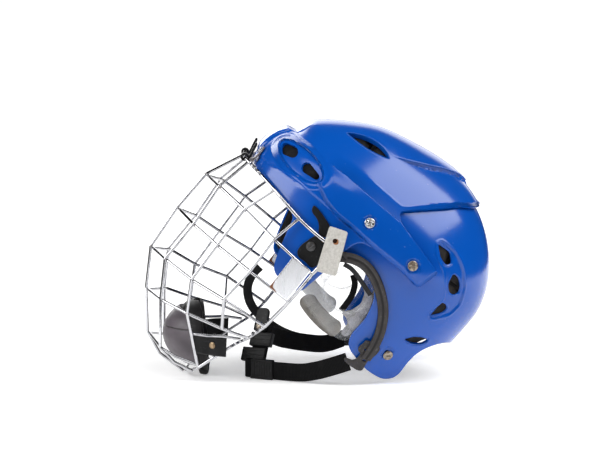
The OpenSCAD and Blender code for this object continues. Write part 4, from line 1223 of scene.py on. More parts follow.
# %% [markdown]
# Foam strips are stuck along the foot of each guard. A thinner foam sheet lies behind the near guard's rear
# half, with a narrow ribbed strip before it. The foam is used: mottled, smudged and rounded at its ends.
# %% Foam on the ear guards
def worn_foam(name, light, dark, stain):
    f = Finish(name)
    blotch = f.noise(120, 5, 0.65)
    cells = f.noise(1600, 2, 0.6)
    smear = f.noise(50, 3, 0.6, stretch=(1, 1, 0.4)).step(0.45, 0.7)
    colour = f.mix(blotch.step(0.32, 0.68), light, dark)
    colour = f.mix(smear * 0.7, colour, stain)
    colour = f.mix((cells.step(0.5, 0.62)) * 0.35, colour, tuple(0.45 * c for c in dark))
    return f.done(colour, 0.8, normal=f.bump(cells * 0.6 + blotch * 0.6, 0.0005, 0.6), Specular_IOR_Level=0.25)


TAN_FOAM = worn_foam("tan_foam", (0.27, 0.25, 0.225), (0.14, 0.13, 0.115), (0.09, 0.082, 0.075))
CLEAN_FOAM = worn_foam("clean_foam", (0.95, 0.95, 0.94), (0.90, 0.90, 0.89), (0.84, 0.84, 0.84))
SMUDGED_FOAM = worn_foam("smudged_foam", (0.46, 0.45, 0.48), (0.22, 0.215, 0.22), (0.26, 0.27, 0.36))


def both_sides(made):
    """Adds the mirror image across the middle plane."""
    bm = bmesh.new()
    bm.from_mesh(made.data)
    copy = bmesh.ops.duplicate(bm, geom=bm.verts[:] + bm.edges[:] + bm.faces[:])
    new = [g for g in copy["geom"] if isinstance(g, bmesh.types.BMVert)]
    for v in new:
        v.co.y = -v.co.y
    bmesh.ops.reverse_faces(bm, faces=[g for g in copy["geom"] if isinstance(g, bmesh.types.BMFace)])
    bm.to_mesh(made.data)
    bm.free()
    return made


def pillow_band(name, path, outs, width, thickness, material, ends=7.0):
    """Padded strip: rounded section that shrinks towards both ends."""
    run = run_of(path)
    end = ends / 1000
    stops = np.concatenate([np.linspace(0, end, 8)[:-1], np.linspace(end, run[-1] - end, 24),
                            np.linspace(run[-1] - end, run[-1], 8)[1:]])
    path, outs = (np.stack([np.interp(stops, run, v[:, i]) for i in range(3)], 1) for v in (path, outs))
    end_gap = np.minimum(stops, stops[-1] - stops) * 1000 / ends
    wide = np.sqrt(np.clip(1 - (1 - np.clip(end_gap, 0, 1)) ** 2, 0.0009, 1))
    thick = np.clip(end_gap * 1.6, 0.05, 1) ** 0.4
    angles = np.linspace(0, 2 * math.pi, 33)[:-1]
    up = signed_power(np.sin(angles), 0.55) * 0.5 + 0.5
    side = signed_power(np.cos(angles), 0.7)
    section = np.stack([np.outer(thick, up) * thickness / 1000, np.outer(wide, side) * width / 2000], -1)
    made = swept(name, path, outs, section, material)
    turned_out(made.data)
    made.data.set_sharp_from_angle(angle=math.radians(60))
    return made


def along_wall(line, o):
    """Places along a line drawn on the near wall, o off the egg, and the directions out of the wall."""
    return world_of(on_side(line[:, 0], line[:, 1], o)), way_of(side_normal(line[:, 0], line[:, 1]))


pad_line, pad_out = along_wall(through([[-17, -71], [-8, -75], [4, -78], [18, -79.5], [32, -78]], 5), -8.5)
for name, mirror, foam in (("guard_foot_pad_near", [1, 1, 1], TAN_FOAM),
                           ("guard_foot_pad_far", [1, -1, 1], CLEAN_FOAM)):
    made = pillow_band(name, pad_line * mirror, -pad_out * mirror, 17.4, 5.3, foam)
    assign(made, "shell", "guard_pads")
FOAM_SHEET = [[15, -28], [29, -29], [37, -34.5], [41, -44], [43, -60], [43, -77], [40, -83], [33, -83], [33, -70],
              [27.5, -66], [20, -66], [27, -57], [30.5, -46], [26, -34]]
made = moulded_sheet("guard_rear_foam", fillet(FOAM_SHEET, 3), [], [], flat_at(-8.5), flat_at(-10.8), SMUDGED_FOAM,
                     coarse=4.0, fine=1.6, edge_steps=(0.4, 1.2), reach=3.0, mirrored=False)
assign(made, "shell")
print("guard foam ready")

# %% [markdown]
# Black moulded plastic turns up in clips, brackets, hooks and buckles. It has a fine spark texture, paler
# rubbed hairlines and grey dust. A brown black softer plastic makes the ear loops and the chin cup's skin.
# %% Black plastics
def moulded_plastic(name, base, rubbed, dust, rough, grain=1400, amount=0.35, groove=False):
    f = Finish(name)
    texture = f.noise(grain, 2, 0.6)
    cloud = f.noise(70, 4, 0.6)
    hairs = f.noise(380, 2, 0.5, stretch=(1, 0.15, 1)).step(0.60, 0.72)
    settled = f.noise(160, 3, 0.6).step(0.52, 0.74)
    colour = f.mix(cloud.step(0.35, 0.65), base, tuple(0.72 * c for c in base))
    colour = f.mix(hairs * 0.5, colour, rubbed)
    colour = f.mix(settled * amount, colour, dust)
    # On a ridged band, painted shade darkens the groove between the ridges and both outer edges.
    if groove:
        off_middle = f.axis(f.uv, "Y")
        groove_painted_shade = 1 - (off_middle + 0.0001).maths("ABSOLUTE").step(0.0006, 0.0016)
        edge_painted_shade = off_middle.maths("ABSOLUTE").step(0.0042, 0.0048)
        colour = f.mix(groove_painted_shade * 0.85 + edge_painted_shade * 0.7, colour, (0.006, 0.005, 0.005))
    return f.done(colour, rough + cloud * 0.14 + settled * 0.12 - hairs * 0.05,
                  normal=f.bump(texture * 0.7 + cloud * 0.5 - hairs * 0.4, 0.0003, 0.45), Specular_IOR_Level=0.25)


BLACK = moulded_plastic("black_moulded_plastic", (0.005, 0.005, 0.0055), (0.026, 0.026, 0.030),
                        (0.022, 0.020, 0.020), 0.38, amount=0.2)
LOOP = moulded_plastic("ear_loop_plastic", (0.046, 0.042, 0.042), (0.10, 0.095, 0.09),
                       (0.085, 0.075, 0.065), 0.42, 900, 0.3)
RIDGED = moulded_plastic("ridged_loop_plastic_groove_shade", (0.052, 0.047, 0.047), (0.12, 0.11, 0.105),
                         (0.085, 0.075, 0.065), 0.38, 900, 0.3, groove=True)
# A darker copy of the loop plastic: on the far loop, its hook and its pin the darkness is painted shade; the near
# loop's inner band is dark as well.
DARK_AND_SHADED_LOOP = moulded_plastic("dark_and_shaded_loop_plastic", (0.010, 0.010, 0.011), (0.045, 0.045, 0.047),
                            (0.035, 0.032, 0.03), 0.36, 900)
print("black plastics ready")

# %% [markdown]
# Two clips hold the top wire at the brow. A clip is a ring round the wire with a tongue up the shell, on a
# steel base with a screw. At the temples a bracket lies over the flap, with a brass stud and an eye pin for
# the ear loop, and a hook before it.
# %% Brow clips and temple hardware
TOP_WIRE_Z = -3.4


def brow_x(y, z, o):
    """Where the shell's face is at the brow, o off the egg."""
    zz = z - EGG_Z + PITCH * FRONT_L
    share = (1 - (abs(zz) / high_reach(zz, o)) ** CROWN_POW) ** (PLAN_POW / CROWN_POW)
    return EGG_X - (FRONT_L + o) * (share - (abs(y) / (HALF_W + o)) ** PLAN_POW) ** (1 / PLAN_POW)


def wearer_plate(name, outline, holes, y, thickness, material, edge=0.5):
    """Plate standing in the wearer's side view plane, from y outwards to the near side."""
    return plate(name, outline, thickness, lambda co: world_of(co[:, [0, 2, 1]] * [1, -1, 1] + [0, y, 0]),
                 material, holes, edge)


def lug_plate(name, outline, holes, spot, o, thickness, material):
    """Plate that follows the near wall round a spot, drawn in the side view; thickness outwards."""
    p, a, b, n = near_frame(*spot, o)

    def place(co):
        flat = p + np.outer(co[:, 0], a) + np.outer(co[:, 1], b)
        return world_of(on_side(flat[:, 0], flat[:, 2], o) + np.outer(co[:, 2], n))

    drawn = [(on_side(*np.transpose(ring), o) - p) @ np.stack([a, b], 1) for ring in [outline] + list(holes)]
    return plate(name, drawn[0], thickness, place, material, drawn[1:], edge=0.45)


def head_on(name, head, axes, material):
    """A button's head on a frame of the wall."""
    return piece_of(name, from_frame(*axes)(head[0]), head[1], material)


def joined(parts, sharp=40):
    """Joins finished objects into the first one; edges over the sharp angle are made sharp."""
    bm = bmesh.new()
    for part in parts:
        bm.from_mesh(part.data)
    bm.to_mesh(parts[0].data)
    bm.free()
    for part in parts[1:]:
        bpy.data.objects.remove(part)
    if sharp:
        parts[0].data.polygons.foreach_set("use_smooth", [True] * len(parts[0].data.polygons))
        parts[0].data.set_sharp_from_angle(angle=math.radians(sharp))
    return parts[0]


CLIP_STEEL = worn_steel("clip_steel", (0.55, 0.53, 0.54), (0.20, 0.14, 0.11), 0.34)
BRASS = worn_steel("brass_stud", (0.62, 0.42, 0.20), (0.20, 0.11, 0.05), 0.3)
CLIP_FACE, CLIP_BACK = brow_x(26.5, 4, 3.0) - 0.1, brow_x(26.5, 17, 3.0)
clip_ring = [[AXIS_X + 4.1 * math.cos(a), TOP_WIRE_Z + 4.1 * math.sin(a)] for a in np.linspace(0.9, 5.6, 28)]
clip_tongue = [[AXIS_X + 4.4, -4.2], [AXIS_X + 5.0, 1.5], [-139.6, 6.5], [-140.8, 13.4], [-142.2, 15.2],
               [-143.6, 14.0], [-142.4, 7.0], [AXIS_X + 2.2, 2.4]]
clips = wearer_plate("brow_clips", clip_ring + clip_tongue, [round_hole(AXIS_X, TOP_WIRE_Z, 2.05, 24)], -26.5, 9.0,
                     BLACK, edge=0.8)
assign(both_sides(clips), "shell", "forehead_clips")
clip_base = [[CLIP_FACE - 1.2, -5.5], [CLIP_FACE - 0.8, 6], [CLIP_BACK - 0.4, 15.6], [CLIP_BACK - 2.4, 15.8],
             [CLIP_FACE - 2.8, 6.4], [CLIP_FACE - 3.6, 1.0], [AXIS_X + 3.6, -1.6], [AXIS_X + 3.8, -5.0]]
made = wearer_plate("brow_clip_bases", fillet(clip_base, 0.8), [], -27.0, 8.0, CLIP_STEEL, edge=0.4)
assign(both_sides(made), "shell")
made = screws("brow_clip_screws", world_of([[CLIP_BACK - 3.2, side * 31, 11] for side in (-1, 1)]),
              way_of([[-1, 0, 0]] * 2), button(3.4, 1.4, 1.1, 0.7, cross=True), BRIGHT_SCREW)
assign(made, "shell", "clip_screws")

BRACKET = [[-45.5, -15.5], [-48.5, -24], [-51, -33.5], [-50, -40.5], [-45.5, -44], [-38, -43], [-29.5, -44.5],
           [-27, -40], [-25.5, -33], [-22, -25.5], [-14, -21.6], [-9.6, -18], [-10.4, -14], [-14, -12.5],
           [-24, -15.2], [-31, -13.5], [-38, -17.0]]
EYE = (-14, -17)
bracket = lug_plate("temple_brackets_plate", fillet(BRACKET, 3), [round_hole(*TEMPLE, 2.6)], TEMPLE, 3.3, 1.5, BLACK)
pin = head_on("pin", button(1.65, 3.7, 0.1, 0.0, rings=4, segments=24, skirt=3.2), near_frame(*EYE, 3.3), BLACK)
assign(both_sides(joined([bracket, pin])), "shell", "temple_brackets")
stud = head_on("bracket_brass_studs", button(1.9, 0.8, 0.6, 0.3, rings=5, segments=24, skirt=0.4),
               near_frame(-37.5, -15.8, 5.0), BRASS)
assign(both_sides(stud), "shell")
HOOK = [[-65, 5.2], [-64, 0.4], [-61, -2.0], [-56.4, -2.8], [-51.7, -5], [-47.3, -9.6], [-45.5, -13.4], [-40, -14.0],
        [-36, -11.0], [-36.5, -4.5], [-41.5, -0.8], [-45.5, 0.8], [-51.0, 2.7], [-59.8, 4.9]]
hook = lug_plate("temple_hooks_plate", fillet(HOOK, 2.2), [], (-45, 0), 3.4, 1.5, BLACK)
assign(both_sides(hook), "shell", "temple_hooks")
print("brow clips and temple hardware ready")

# %% [markdown]
# The side plates are cut from chromed sheet and join the cross wires. The tabs are thicker, painted off
# white, with a hammered look and rust round their snap holes; a thin dark disc behind each hole is painted shade.
# %% Side plates and tabs
f = Finish("plate_chrome")
blotch = f.noise(260, 4, 0.6)
brush = f.noise(160, 2, 0.5, stretch=(1, 1, 0.1))
foot = (f.attribute("rim") + blotch * 0.5).step(0.95, 1.10)
colour = f.mix(foot, f.mix(brush, (0.90, 0.91, 0.94), (0.76, 0.77, 0.81)), (0.20, 0.075, 0.03))
PLATE_CHROME = f.done(colour, 0.22 + brush * 0.10 + foot * 0.5, metal=1 - foot * 0.85,
                      normal=f.bump(brush * 0.4 + foot * blotch, 0.0002, 0.4))
plate_edge = fillet([[-51, -46], [-29, -46], [-29, -83], [-51, -83]], 1.2)
made = wearer_plate("cage_side_plates", plate_edge, [], -104.05, 1.2, PLATE_CHROME, edge=0.25)
w = wearer_of(points_of(made))
corner = np.hypot(w[:, 0] + 51, w[:, 2] + 83)
low_edge = np.minimum(np.abs(w[:, 2] + 83), np.abs(w[:, 0] + 51))
keep_value(made, "rim", bell(low_edge / 2.2) * np.clip(1.15 - corner / 26, 0, 1) + bell(corner / 4.0))
w[:, 1] += 0.8 * np.clip((-46 - w[:, 2]) / 37, 0, 1)
made.data.vertices.foreach_set("co", world_of(w).ravel())
assign(both_sides(made), "cage", "side_plates")

f = Finish("tab_paint")
pits = f.noise(420, 4, 0.65)
fine = f.noise(1500, 2, 0.6)
grime = f.noise(150, 4, 0.65).step(0.50, 0.72)
rust = (f.attribute("rim") * 0.8 + pits * 0.6).step(0.84, 1.02)
colour = f.mix(pits.step(0.3, 0.7), (0.52, 0.50, 0.46), (0.66, 0.64, 0.60))
colour = f.mix(grime * 0.45, colour, (0.34, 0.31, 0.27))
colour = f.mix(rust, colour, f.mix(fine, (0.44, 0.16, 0.05), (0.16, 0.06, 0.025)))
TAB_PAINT = f.done(colour, 0.42 + pits * 0.15 + rust * 0.3, normal=f.bump(pits * 0.8 + fine * 0.3, 0.0005, 0.55))
SNAP = (-29, -9)
tab_edge = fillet([[-42.0, -0.7], [-24.4, 5.5], [-6.9, -35.2], [-25.5, -43.0]], 2.4, count=7)
made = wearer_plate("cage_strap_tabs", tab_edge, [round_hole(*SNAP, 2.25, 28)], -105.35, 1.5, TAB_PAINT, edge=0.35)
w = wearer_of(points_of(made))
from_snap = np.hypot(w[:, 0] - SNAP[0] - 1.2, w[:, 2] - SNAP[1])
keep_value(made, "rim", bell(np.clip(from_snap - 2.2, 0, None) / 1.6))
assign(both_sides(made), "cage", "cage_tabs")
# A thin dark disc behind each snap hole: painted shade that darkens the hole.
SNAP_HOLE_SHADE = worn_steel("snap_hole_shade", (0.035, 0.022, 0.016), (0.06, 0.02, 0.008), 0.5)
snap_shade_at = world_of([[SNAP[0], y, SNAP[1]] for y in (-105.0, 105.0)])
made = screws("tab_snap_sockets", snap_shade_at, [(0, -1.0, 0), (0, 1.0, 0)],
              button(2.9, 0.15, 0.2, 0.0, rings=4, segments=24, skirt=0.2), SNAP_HOLE_SHADE)
assign(made, "cage")
NUT = worn_steel("nut_steel", (0.62, 0.62, 0.60), (0.30, 0.24, 0.16), 0.35)
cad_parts["t_nuts"].data.materials.clear()
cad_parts["t_nuts"].data.materials.append(NUT)
print("side plates and tabs ready")

# %% [markdown]
# The chin cup is a bowl cut from a stretched ball. Its smooth skin stops at a line down its side, and a
# thicker black pad fills it and stands out behind that line. Rows of points follow the bowl from
# below upwards, each as wide as its cut allows, and Solidify and one subdivision turn them into padded forms.
# %% Chin cup
CUP, CUP_RADII = np.array([-110.489, 0.0, 41.0]), np.array([44.0, 49.0, 35.0])
SKIN_CUT = [[5, -116], [18, -118.5], [48, -125.5], [63, -128.0], [66, -131.5], [68.4, -137.5], [70, -141]]
PAD_CUT = [[4, -111.5], [12, -108.5], [30, -110], [50, -112.5], [66, -113.5], [72, -117], [74, -122]]


def cup_rows(cut, shrink, low, high, rows=26, columns=30):
    """Net of the bowl in front of a cut line, each row from the far side to the near one."""
    radii = CUP_RADII - shrink
    verts = []
    for lift in np.linspace(0, 1, rows):
        z = low + (high - low) * (0.5 - 0.5 * math.cos(math.pi * lift))
        sin_b = np.clip((z - CUP[2]) / radii[2], -0.9995, 0.9995)
        cos_b = math.sqrt(1 - sin_b ** 2)
        turn = math.acos(np.clip((CUP[0] - np.interp(z, *np.transpose(cut))) / (radii[0] * cos_b), -1, 0.999))
        for a in turn * np.linspace(-1, 1, columns):
            verts.append([CUP[0] - radii[0] * cos_b * math.cos(a), radii[1] * cos_b * math.sin(a), z])
    faces = [(r * columns + c, (r + 1) * columns + c, (r + 1) * columns + c + 1, r * columns + c + 1)
             for r in range(rows - 1) for c in range(columns - 1)]
    return np.array(verts), faces


def thickened(made, thickness):
    """Gives a net of the cup a thickness inwards and rounds it by one subdivision."""
    bm = bmesh.new()
    bm.from_mesh(made.data)
    bmesh.ops.remove_doubles(bm, verts=bm.verts, dist=2e-4)
    bmesh.ops.recalc_face_normals(bm, faces=bm.faces)
    if sum((face.calc_center_median() - Vector(CUP / 1000)).dot(face.normal) for face in bm.faces) < 0:
        bmesh.ops.reverse_faces(bm, faces=bm.faces)
    bm.to_mesh(made.data)
    bm.free()
    solid = made.modifiers.new("wall", "SOLIDIFY")
    solid.thickness, solid.offset, solid.use_even_offset = thickness / 1000, -1.0, True
    finer = made.modifiers.new("finer", "SUBSURF")
    finer.levels = finer.render_levels = 1
    done = evaluated_mesh(made)
    made.modifiers.clear()
    made.data = done
    done.polygons.foreach_set("use_smooth", [True] * len(done.polygons))
    return made


f = Finish("cup_skin_with_seam")
texture, cloud = f.noise(800, 2, 0.6), f.noise(60, 4, 0.6)
wobble = (f.noise(110, 2, 0.5) - 0.5) * 0.0022
seam = 1 - ((f.axis(f.place, "Z") - 0.0494 + wobble) * 1000).maths("ABSOLUTE").step(0.35, 0.9)
side_dust = f.noise(240, 4, 0.65).step(0.50, 0.72)
colour = f.mix(cloud.step(0.35, 0.7), (0.108, 0.091, 0.107), (0.078, 0.066, 0.077))
colour = f.mix(side_dust * 0.3, colour, (0.13, 0.11, 0.11))
colour = f.mix(seam * 0.9, colour, (0.012, 0.008, 0.008))
CUP_SEAMED = f.done(colour, 0.36 + cloud * 0.12 + side_dust * 0.15,
                    normal=f.bump(texture * 0.3 + cloud * 0.5 - seam * 2.0, 0.0004, 0.5))
PAD_BLACK = moulded_plastic("cup_pad_black", (0.010, 0.009, 0.010), (0.028, 0.026, 0.026),
                            (0.03, 0.026, 0.024), 0.5, 700)

verts, faces = cup_rows(SKIN_CUT, 0.0, 6.6, 68.6)
cup = thickened(piece_of("chin_cup_shell", verts / 1000, faces, CUP_SEAMED), 2.6)
assign(cup, "cup", "chin_cup")

# the pad swells where it stands out behind the skin, and its lower edge hangs a little
verts, faces = cup_rows(PAD_CUT, 2.8, 9.3, 72.0, rows=30, columns=40)
swell = 2.5 * smooth((verts[:, 0] - np.interp(verts[:, 2], *np.transpose(SKIN_CUT)) - 1.2) / 3.0)
verts += unit((verts - CUP) / CUP_RADII ** 2) * swell[:, None]
verts[:, 2] -= 5.2 * smooth((19 - verts[:, 2]) / 10) * smooth((verts[:, 0] + 122) / 6)
cup_pad = thickened(piece_of("chin_cup_liner", verts / 1000, faces, PAD_BLACK), 4.6)
assign(cup_pad, "cup", "chin_cup_pad")
turns = np.linspace(-0.75, 0.75, 13)
level = np.ones(len(turns))
lip_line = lying(np.stack([-112.0 - 8 * np.cos(turns), 38 * np.sin(turns), 7.6 * level], 1))
lip_out = np.stack([0.9 * np.cos(turns), 0.9 * np.sin(turns), -0.1 * level], 1)
made = pillow_band("chin_cup_lip", lip_line, lip_out, 12.5, 10.0, PAD_BLACK, ends=8.0)
assign(made, "cup")

CUP_STRAP = lying([[-130, -45.3, 36.2], [-118, -49.7, 36.2], [-104, -61.5, 36], [-91, -66.3, 35.4]])
strap_path = through(CUP_STRAP, 8)[6:]
strap_outs = np.array([[-0.35, -0.93, 0], [-0.5, -0.86, 0], [-0.55, -0.83, 0], [-0.3, -0.95, 0]])
at = np.linspace(0.75, 3, len(strap_path))
strap_outs = np.stack([np.interp(at, range(4), strap_outs[:, i]) for i in range(3)], 1)
made = band("chin_cup_straps", strap_path, strap_outs,
            strip_section(19.0, 1.8, 0.8, ridges=[(-8.6, 1.0, 0.5), (8.6, 1.0, 0.5)]), BLACK)
assign(both_sides(made), "cage", "cup_straps")
ROD = lying([[-124, -59, 48], [-110, -64.5, 46.8], [-95, -68, 46.8], [-77, -69, 44]])
made = rusted(wires("chin_cup_rods", [ROD, flipped(ROD)], 1.5, CHROME, corner=4), lowest=False)
assign(made, "cage", "cup_rods")
RIVET = worn_steel("tan_rivet", (0.50, 0.36, 0.22), (0.22, 0.15, 0.09), 0.38)
rivet_way = np.array([-math.cos(math.radians(57)), -math.sin(math.radians(57)), 0.0])
rivet_at = lying([-104.9, -62.85, 37])[0]
made = screws("chin_cup_rivets", [rivet_at, flipped(rivet_at)], [rivet_way, flipped(rivet_way)],
              button(3.4, 1.5, 0.3, 0.0, rings=8, segments=32, skirt=0.4), RIVET)
assign(made, "cage", "cup_rivets")
print("chin cup ready")

# %% [markdown]
# The near ear loop is a moulded band with two rounded ridges and a groove between them. It turns on the
# bracket's pin and is buttoned to the strap's hook. The far one hangs down inside the helmet; its darker plastic is
# painted shade.
# %% Ear loops and their hooks
NEAR_PATH = [[-14, -17, 5.15], [-3, -11.5, 4.75], [10, -10, 2.4], [24, -14, 1.4], [38, -22.5, 1.2],
             [50.5, -34.5, 1.2], [60, -50, 1.6], [65, -66, 2.6], [67, -82, 3.2]]
near_line = through([on_side(x, z, o) for x, z, o in NEAR_PATH], 10)
near_outs = way_of(side_normal(near_line[:, 0], near_line[:, 2], 2.0))
near_loop = band("near_loop_band", world_of(near_line), near_outs,
                 strip_section(10.4, 1.5, 0.8, ridges=[(-3.1, 1.9, 0.6), (2.9, 2.3, 0.5)]), RIDGED)
eye = plate("near_loop_eye", round_hole(0, 0, 5.3, 36), 1.9, from_frame(*near_frame(*EYE, 5.3)), LOOP,
            [round_hole(0, 0, 2.0, 24)], 0.5)
assign(joined([near_loop, eye]), "near_loop", "near_ear_loop")
inner_line = through([[-8, -21.5], [-1, -20.6], [7, -21.8], [16, -24.6], [24, -27.2], [31, -29.6]], 8)
inner_o = np.interp(inner_line[:, 0], [-8, 6, 31], [4.9, 1.6, -0.8])
made = band("near_loop_inner_band", *along_wall(inner_line, inner_o), strip_section(4.6, 1.6, 0.6), DARK_AND_SHADED_LOOP)
assign(made, "near_loop")

FAR_PATH = [[-57, 66, -90], [-58, 66, -102], [-53, 66, -116], [-39, 66, -127], [-17, 69, -131], [9, 75, -128.5],
            [35.5, 83.5, -118], [54, 90.2, -107], [69, 92, -95]]
far_line = world_of(through(FAR_PATH, 10))
far_loop = band("far_loop_band", far_line, np.tile([0.0, 1.0, 0.0], (len(far_line), 1)),
                strip_section(9.2, 1.7, 0.8, ridges=[(-2.6, 2.0, 0.5), (2.6, 2.0, 0.5)]), DARK_AND_SHADED_LOOP)
assign(far_loop, "far_loop", "far_ear_loop")

FORK = [[-12.5, 16], [-4, 18.5], [2, 19], [5.5, 16], [5.8, 8.7], [3.6, 1], [3.4, -3], [5.2, -12.5], [1, -14.9],
        [-6, -15], [-12.7, -14.4], [-17, -13.2], [-17.6, -10.3], [-9.2, -8.8], [-7, -3.4], [-7.6, 1.8], [-11.4, 2.4],
        [-13.8, 6.2], [-12.2, 12]]
slots = [slot_outline((-6.5, 13.6), 0.8, (-1, 14.8), 0.8, 8), slot_outline((-6.6, 7.4), 0.9, (-1.6, 8.0), 0.9, 8),
         slot_outline((-1.2, -2.6), 0.7, (1.0, -1.8), 0.7, 8)]
near_hook = plate("near_hook", fillet(FORK, 2.4), 2.2, from_frame(*near_frame(67, -82, 0.4)), LOOP, slots, 0.6)
FAR_HOOK = [[-11.4, 3], [-9.5, 6.2], [-2, 6.8], [6, 7.4], [9.6, 4], [6, -4], [2.8, -11.4], [-1, -12.6], [-9, -11.4],
            [-14.4, -10.4], [-15.2, -6.6], [-12.6, -4]]
on_far_frame = from_frame(*near_frame(67, -88, 0.4))
far_hook = plate("far_hook", fillet(FAR_HOOK, 2.2), 2.0, lambda co: flipped(on_far_frame(co)), DARK_AND_SHADED_LOOP, [], 0.5)
pin_verts, pin_faces = button(1.7, 10.4, 0.1, 0.0, rings=4, segments=24, skirt=9.9)
far_pin = piece_of("far_pin", world_of([[66 + x, 84 + z, -97 - y] for x, y, z in pin_verts]), pin_faces, DARK_AND_SHADED_LOOP)
for part in (far_hook, far_pin):
    turned_out(part.data)
assign(joined([near_hook, far_hook, far_pin]), "shell", "loop_hooks")
print("ear loops ready")

# %% [markdown]
# The chin strap is woven nylon. The weave is a shader pattern on the strap's own UV map, with u along the
# strap and v across it, so it bends with the strap. The band is swept with soft, rounded edges.
# %% Webbing
f = Finish("black_webbing")
RIB_PITCH, ROW_PITCH = 0.0016, 0.0022
ribs = (f.axis(f.uv, "X") * (2 * math.pi / RIB_PITCH)).maths("SINE")
rows = (f.axis(f.uv, "Y") * (2 * math.pi / ROW_PITCH)).maths("SINE")
weave = ribs * 0.5 * (0.75 + 0.25 * rows) + 0.5
fuzz = f.noise(900, 3, 0.6)
dust = f.noise(80, 4, 0.6).step(0.48, 0.75)
colour = f.mix(weave, (0.002, 0.002, 0.002), (0.009, 0.009, 0.010))
colour = f.mix(dust * 0.25, colour, (0.020, 0.019, 0.019))
WEBBING = f.done(colour, 0.75 + fuzz * 0.15, normal=f.bump(weave + fuzz * 0.4, 0.0003, 0.8),
                 Specular_IOR_Level=0.1)
RIB_LINE = through([[7, -25.5], [14, -31.5], [18.6, -42], [19.6, -52], [19.8, -60]], 14)
made = band("guard_ribbed_strip", *along_wall(RIB_LINE, -11.5), strip_section(6.0, 1.6, 0.7), WEBBING)
assign(made, "shell")
WEB_WIDE, WEB_THICK = 18, 1.8


def webbing(name, line):
    """Strap of webbing that stands on its edge along a line."""
    outs = unit(np.cross(np.gradient(line, axis=0), [0, 0, 1.0]))
    woven = strip_section(WEB_WIDE, WEB_THICK, 0.7, ridges=[(-7.8, 0.8, 0.15), (7.8, 0.8, 0.15)])
    return band(name, line, outs, woven, WEBBING)


def placed_by(turn, origin):
    """Place function from a buckle's own millimetres to metres."""
    def place(points):
        return np.array([turn @ Vector(p) for p in np.asarray(points, float).reshape(-1, 3) / 1000]) + origin

    return place


FOLD = [[-56.3, -35.9, 9.8], [-63.3, -32, 9.8], [-66.8, -30.1, 9.8], [-69.6, -29.9, 9.8], [-71.3, -31.6, 9.8],
        [-70.4, -34.3, 9.8]]
NEAR_RUN = [[-66, -36.8, 9.8], [-22, -61.5, 9.8], [-4, -71.4, 13], [12, -79.4, 18.5], [27.5, -85.7, 24.5]]
FAR_RUN = [[-54, -14.5, 39.6], [-46, 5, 36], [-36, 24, 30], [-14, 48, 22.5], [8, 68, 18], [27.5, 84.2, 21]]
near_path = np.vstack([dense(lying(FOLD + NEAR_RUN[:1]), 0.0012, False), through(lying(NEAR_RUN), 10)[1:]])
near_strap = webbing("chin_strap_near_band", near_path)
SLOPE = math.atan2(-61.5 + 36.8, -22 + 66)
RISING = Matrix.Rotation(SLOPE, 3, "Z") @ Matrix.Rotation(math.radians(-24), 3, "X")
rising = placed_by(RISING, np.array([-61.789, -31.9, 6.0]) / 1000)
riser_line = rising([[0, 0, z] for z in np.linspace(0, 50, 26)])
riser_out = np.array([RISING @ Vector((0, 1, 0)) for _ in riser_line])
riser = band("riser", riser_line, riser_out, strip_section(WEB_WIDE, WEB_THICK, 0.7), WEBBING)
assign(joined([near_strap, riser], sharp=None), "shell", "chin_strap_near")
far_strap = webbing("chin_strap_far_band", through(lying(FAR_RUN), 10))
assign(far_strap, "shell", "chin_strap_far")
print("straps ready")

# %% [markdown]
# The buckles are small moulded frames: a slider whose ribbed mouth grips the strap near the ground, two
# ladder locks on the rising end, and a snap clip with a dull stud above them.
# %% Buckles
def box_between(low, high):
    """Open bmesh of a box between two corners."""
    low, high = np.array(low, float), np.array(high, float)
    bm = bmesh.new()
    bmesh.ops.create_cube(bm, size=1.0)
    for v in bm.verts:
        v.co = Vector(low + (np.array(v.co) + 0.5) * (high - low))
    return bm


def mesh_object(name, bm):
    """Object of an open bmesh, which is closed."""
    made = bpy.data.objects.new(name, bpy.data.meshes.new(name))
    bm.to_mesh(made.data)
    bm.free()
    SCENE.collection.objects.link(made)
    return made


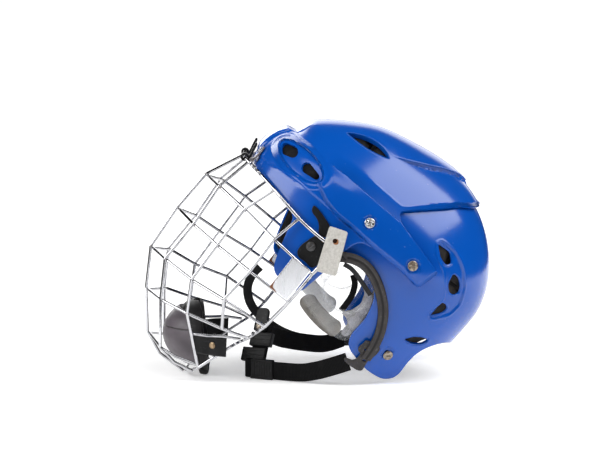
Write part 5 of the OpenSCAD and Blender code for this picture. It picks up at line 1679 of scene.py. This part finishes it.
def block(name, low, high, place, bevel=0.6, cut=None):
    """Rounded black block between two corners in millimetres, put in place, with a slot cut through it."""
    bm = box_between(low, high)
    bmesh.ops.bevel(bm, geom=bm.edges[:], offset=bevel, segments=3, profile=0.6, affect="EDGES")
    made = mesh_object(name, bm)
    if cut:
        cutter = mesh_object("cutter", box_between(*cut))
        slot = made.modifiers.new("cut", "BOOLEAN")
        slot.operation, slot.solver, slot.object = "DIFFERENCE", "EXACT", cutter
        done = evaluated_mesh(made)
        made.modifiers.clear()
        made.data = done
        bpy.data.objects.remove(cutter)
    made.data.vertices.foreach_set("co", place(points_of(made)).ravel())
    made.data.update()
    made.data.name = name
    made.data.materials.clear()
    made.data.materials.append(BLACK)
    made.data.polygons.foreach_set("use_smooth", [True] * len(made.data.polygons))
    made.data.set_sharp_from_angle(angle=math.radians(42))
    return made


sliding = placed_by(Matrix.Rotation(SLOPE, 3, "Z"), np.array([-53.59, -42.92, 0.3]) / 1000)
parts = [block("strap_slider_body", [-12, -3.7, 0], [12, 1.9, 19.6], sliding, 1.0,
               ([-13, -2.1, 0.3], [13, 0.3, 20.2]))]
parts += [block(f"rib{x:.0f}", [x - 0.7, -4.05, 3.0], [x + 0.7, -3.4, 17.5], sliding, 0.25)
          for x in np.linspace(-8.5, 8.5, 7)]
parts.append(block("foot", [-12.6, -4.2, 0.0], [12.6, -3.0, 2.8], sliding, 0.5))
assign(joined(parts), "slider", "strap_slider")

parts = []
for x, z, half in ((-5, 17, 13), (0, 33, 12)):
    parts.append(block(f"lock{z}", [x - half, -2.2, z - 7], [x + half, 3.6, z + 7], rising, 1.1,
                       ([-9.15, -0.15, z - 10], [9.15, 1.95, z + 10])))
    parts += [block(f"rung{z}{k}", [x - half + 2.2, -2.75, z + k - 0.8], [x + half - 2.2, -2.0, z + k + 0.8],
                    rising, 0.3) for k in (-4.2, 0, 4.2)]
locks = joined(parts)
locks.name = locks.data.name = "strap_ladder_locks"
assign(locks, "shell", "strap_adjuster")

clip_edge = fillet([[-10, 41], [4, 41], [4, 62], [1, 65], [-7, 65], [-10, 62]], 2.0)
clip = plate("strap_snap_clip", clip_edge, 3.0, lambda co: rising(co[:, [0, 2, 1]] * [1, -1, 1] + [0, -0.15, 0]),
             BLACK, [], 0.7)
assign(clip, "shell", "strap_clip")
made = screws("strap_snap_stud", rising([-4, -3.25, 46]), [RISING @ Vector((0, -1, 0))],
              button(3.6, 1.4, 1.6, 0.5, rings=8, segments=32, skirt=0.5), BRONZE_SCREW)
assign(made, "shell", "strap_stud")
print("buckles ready")
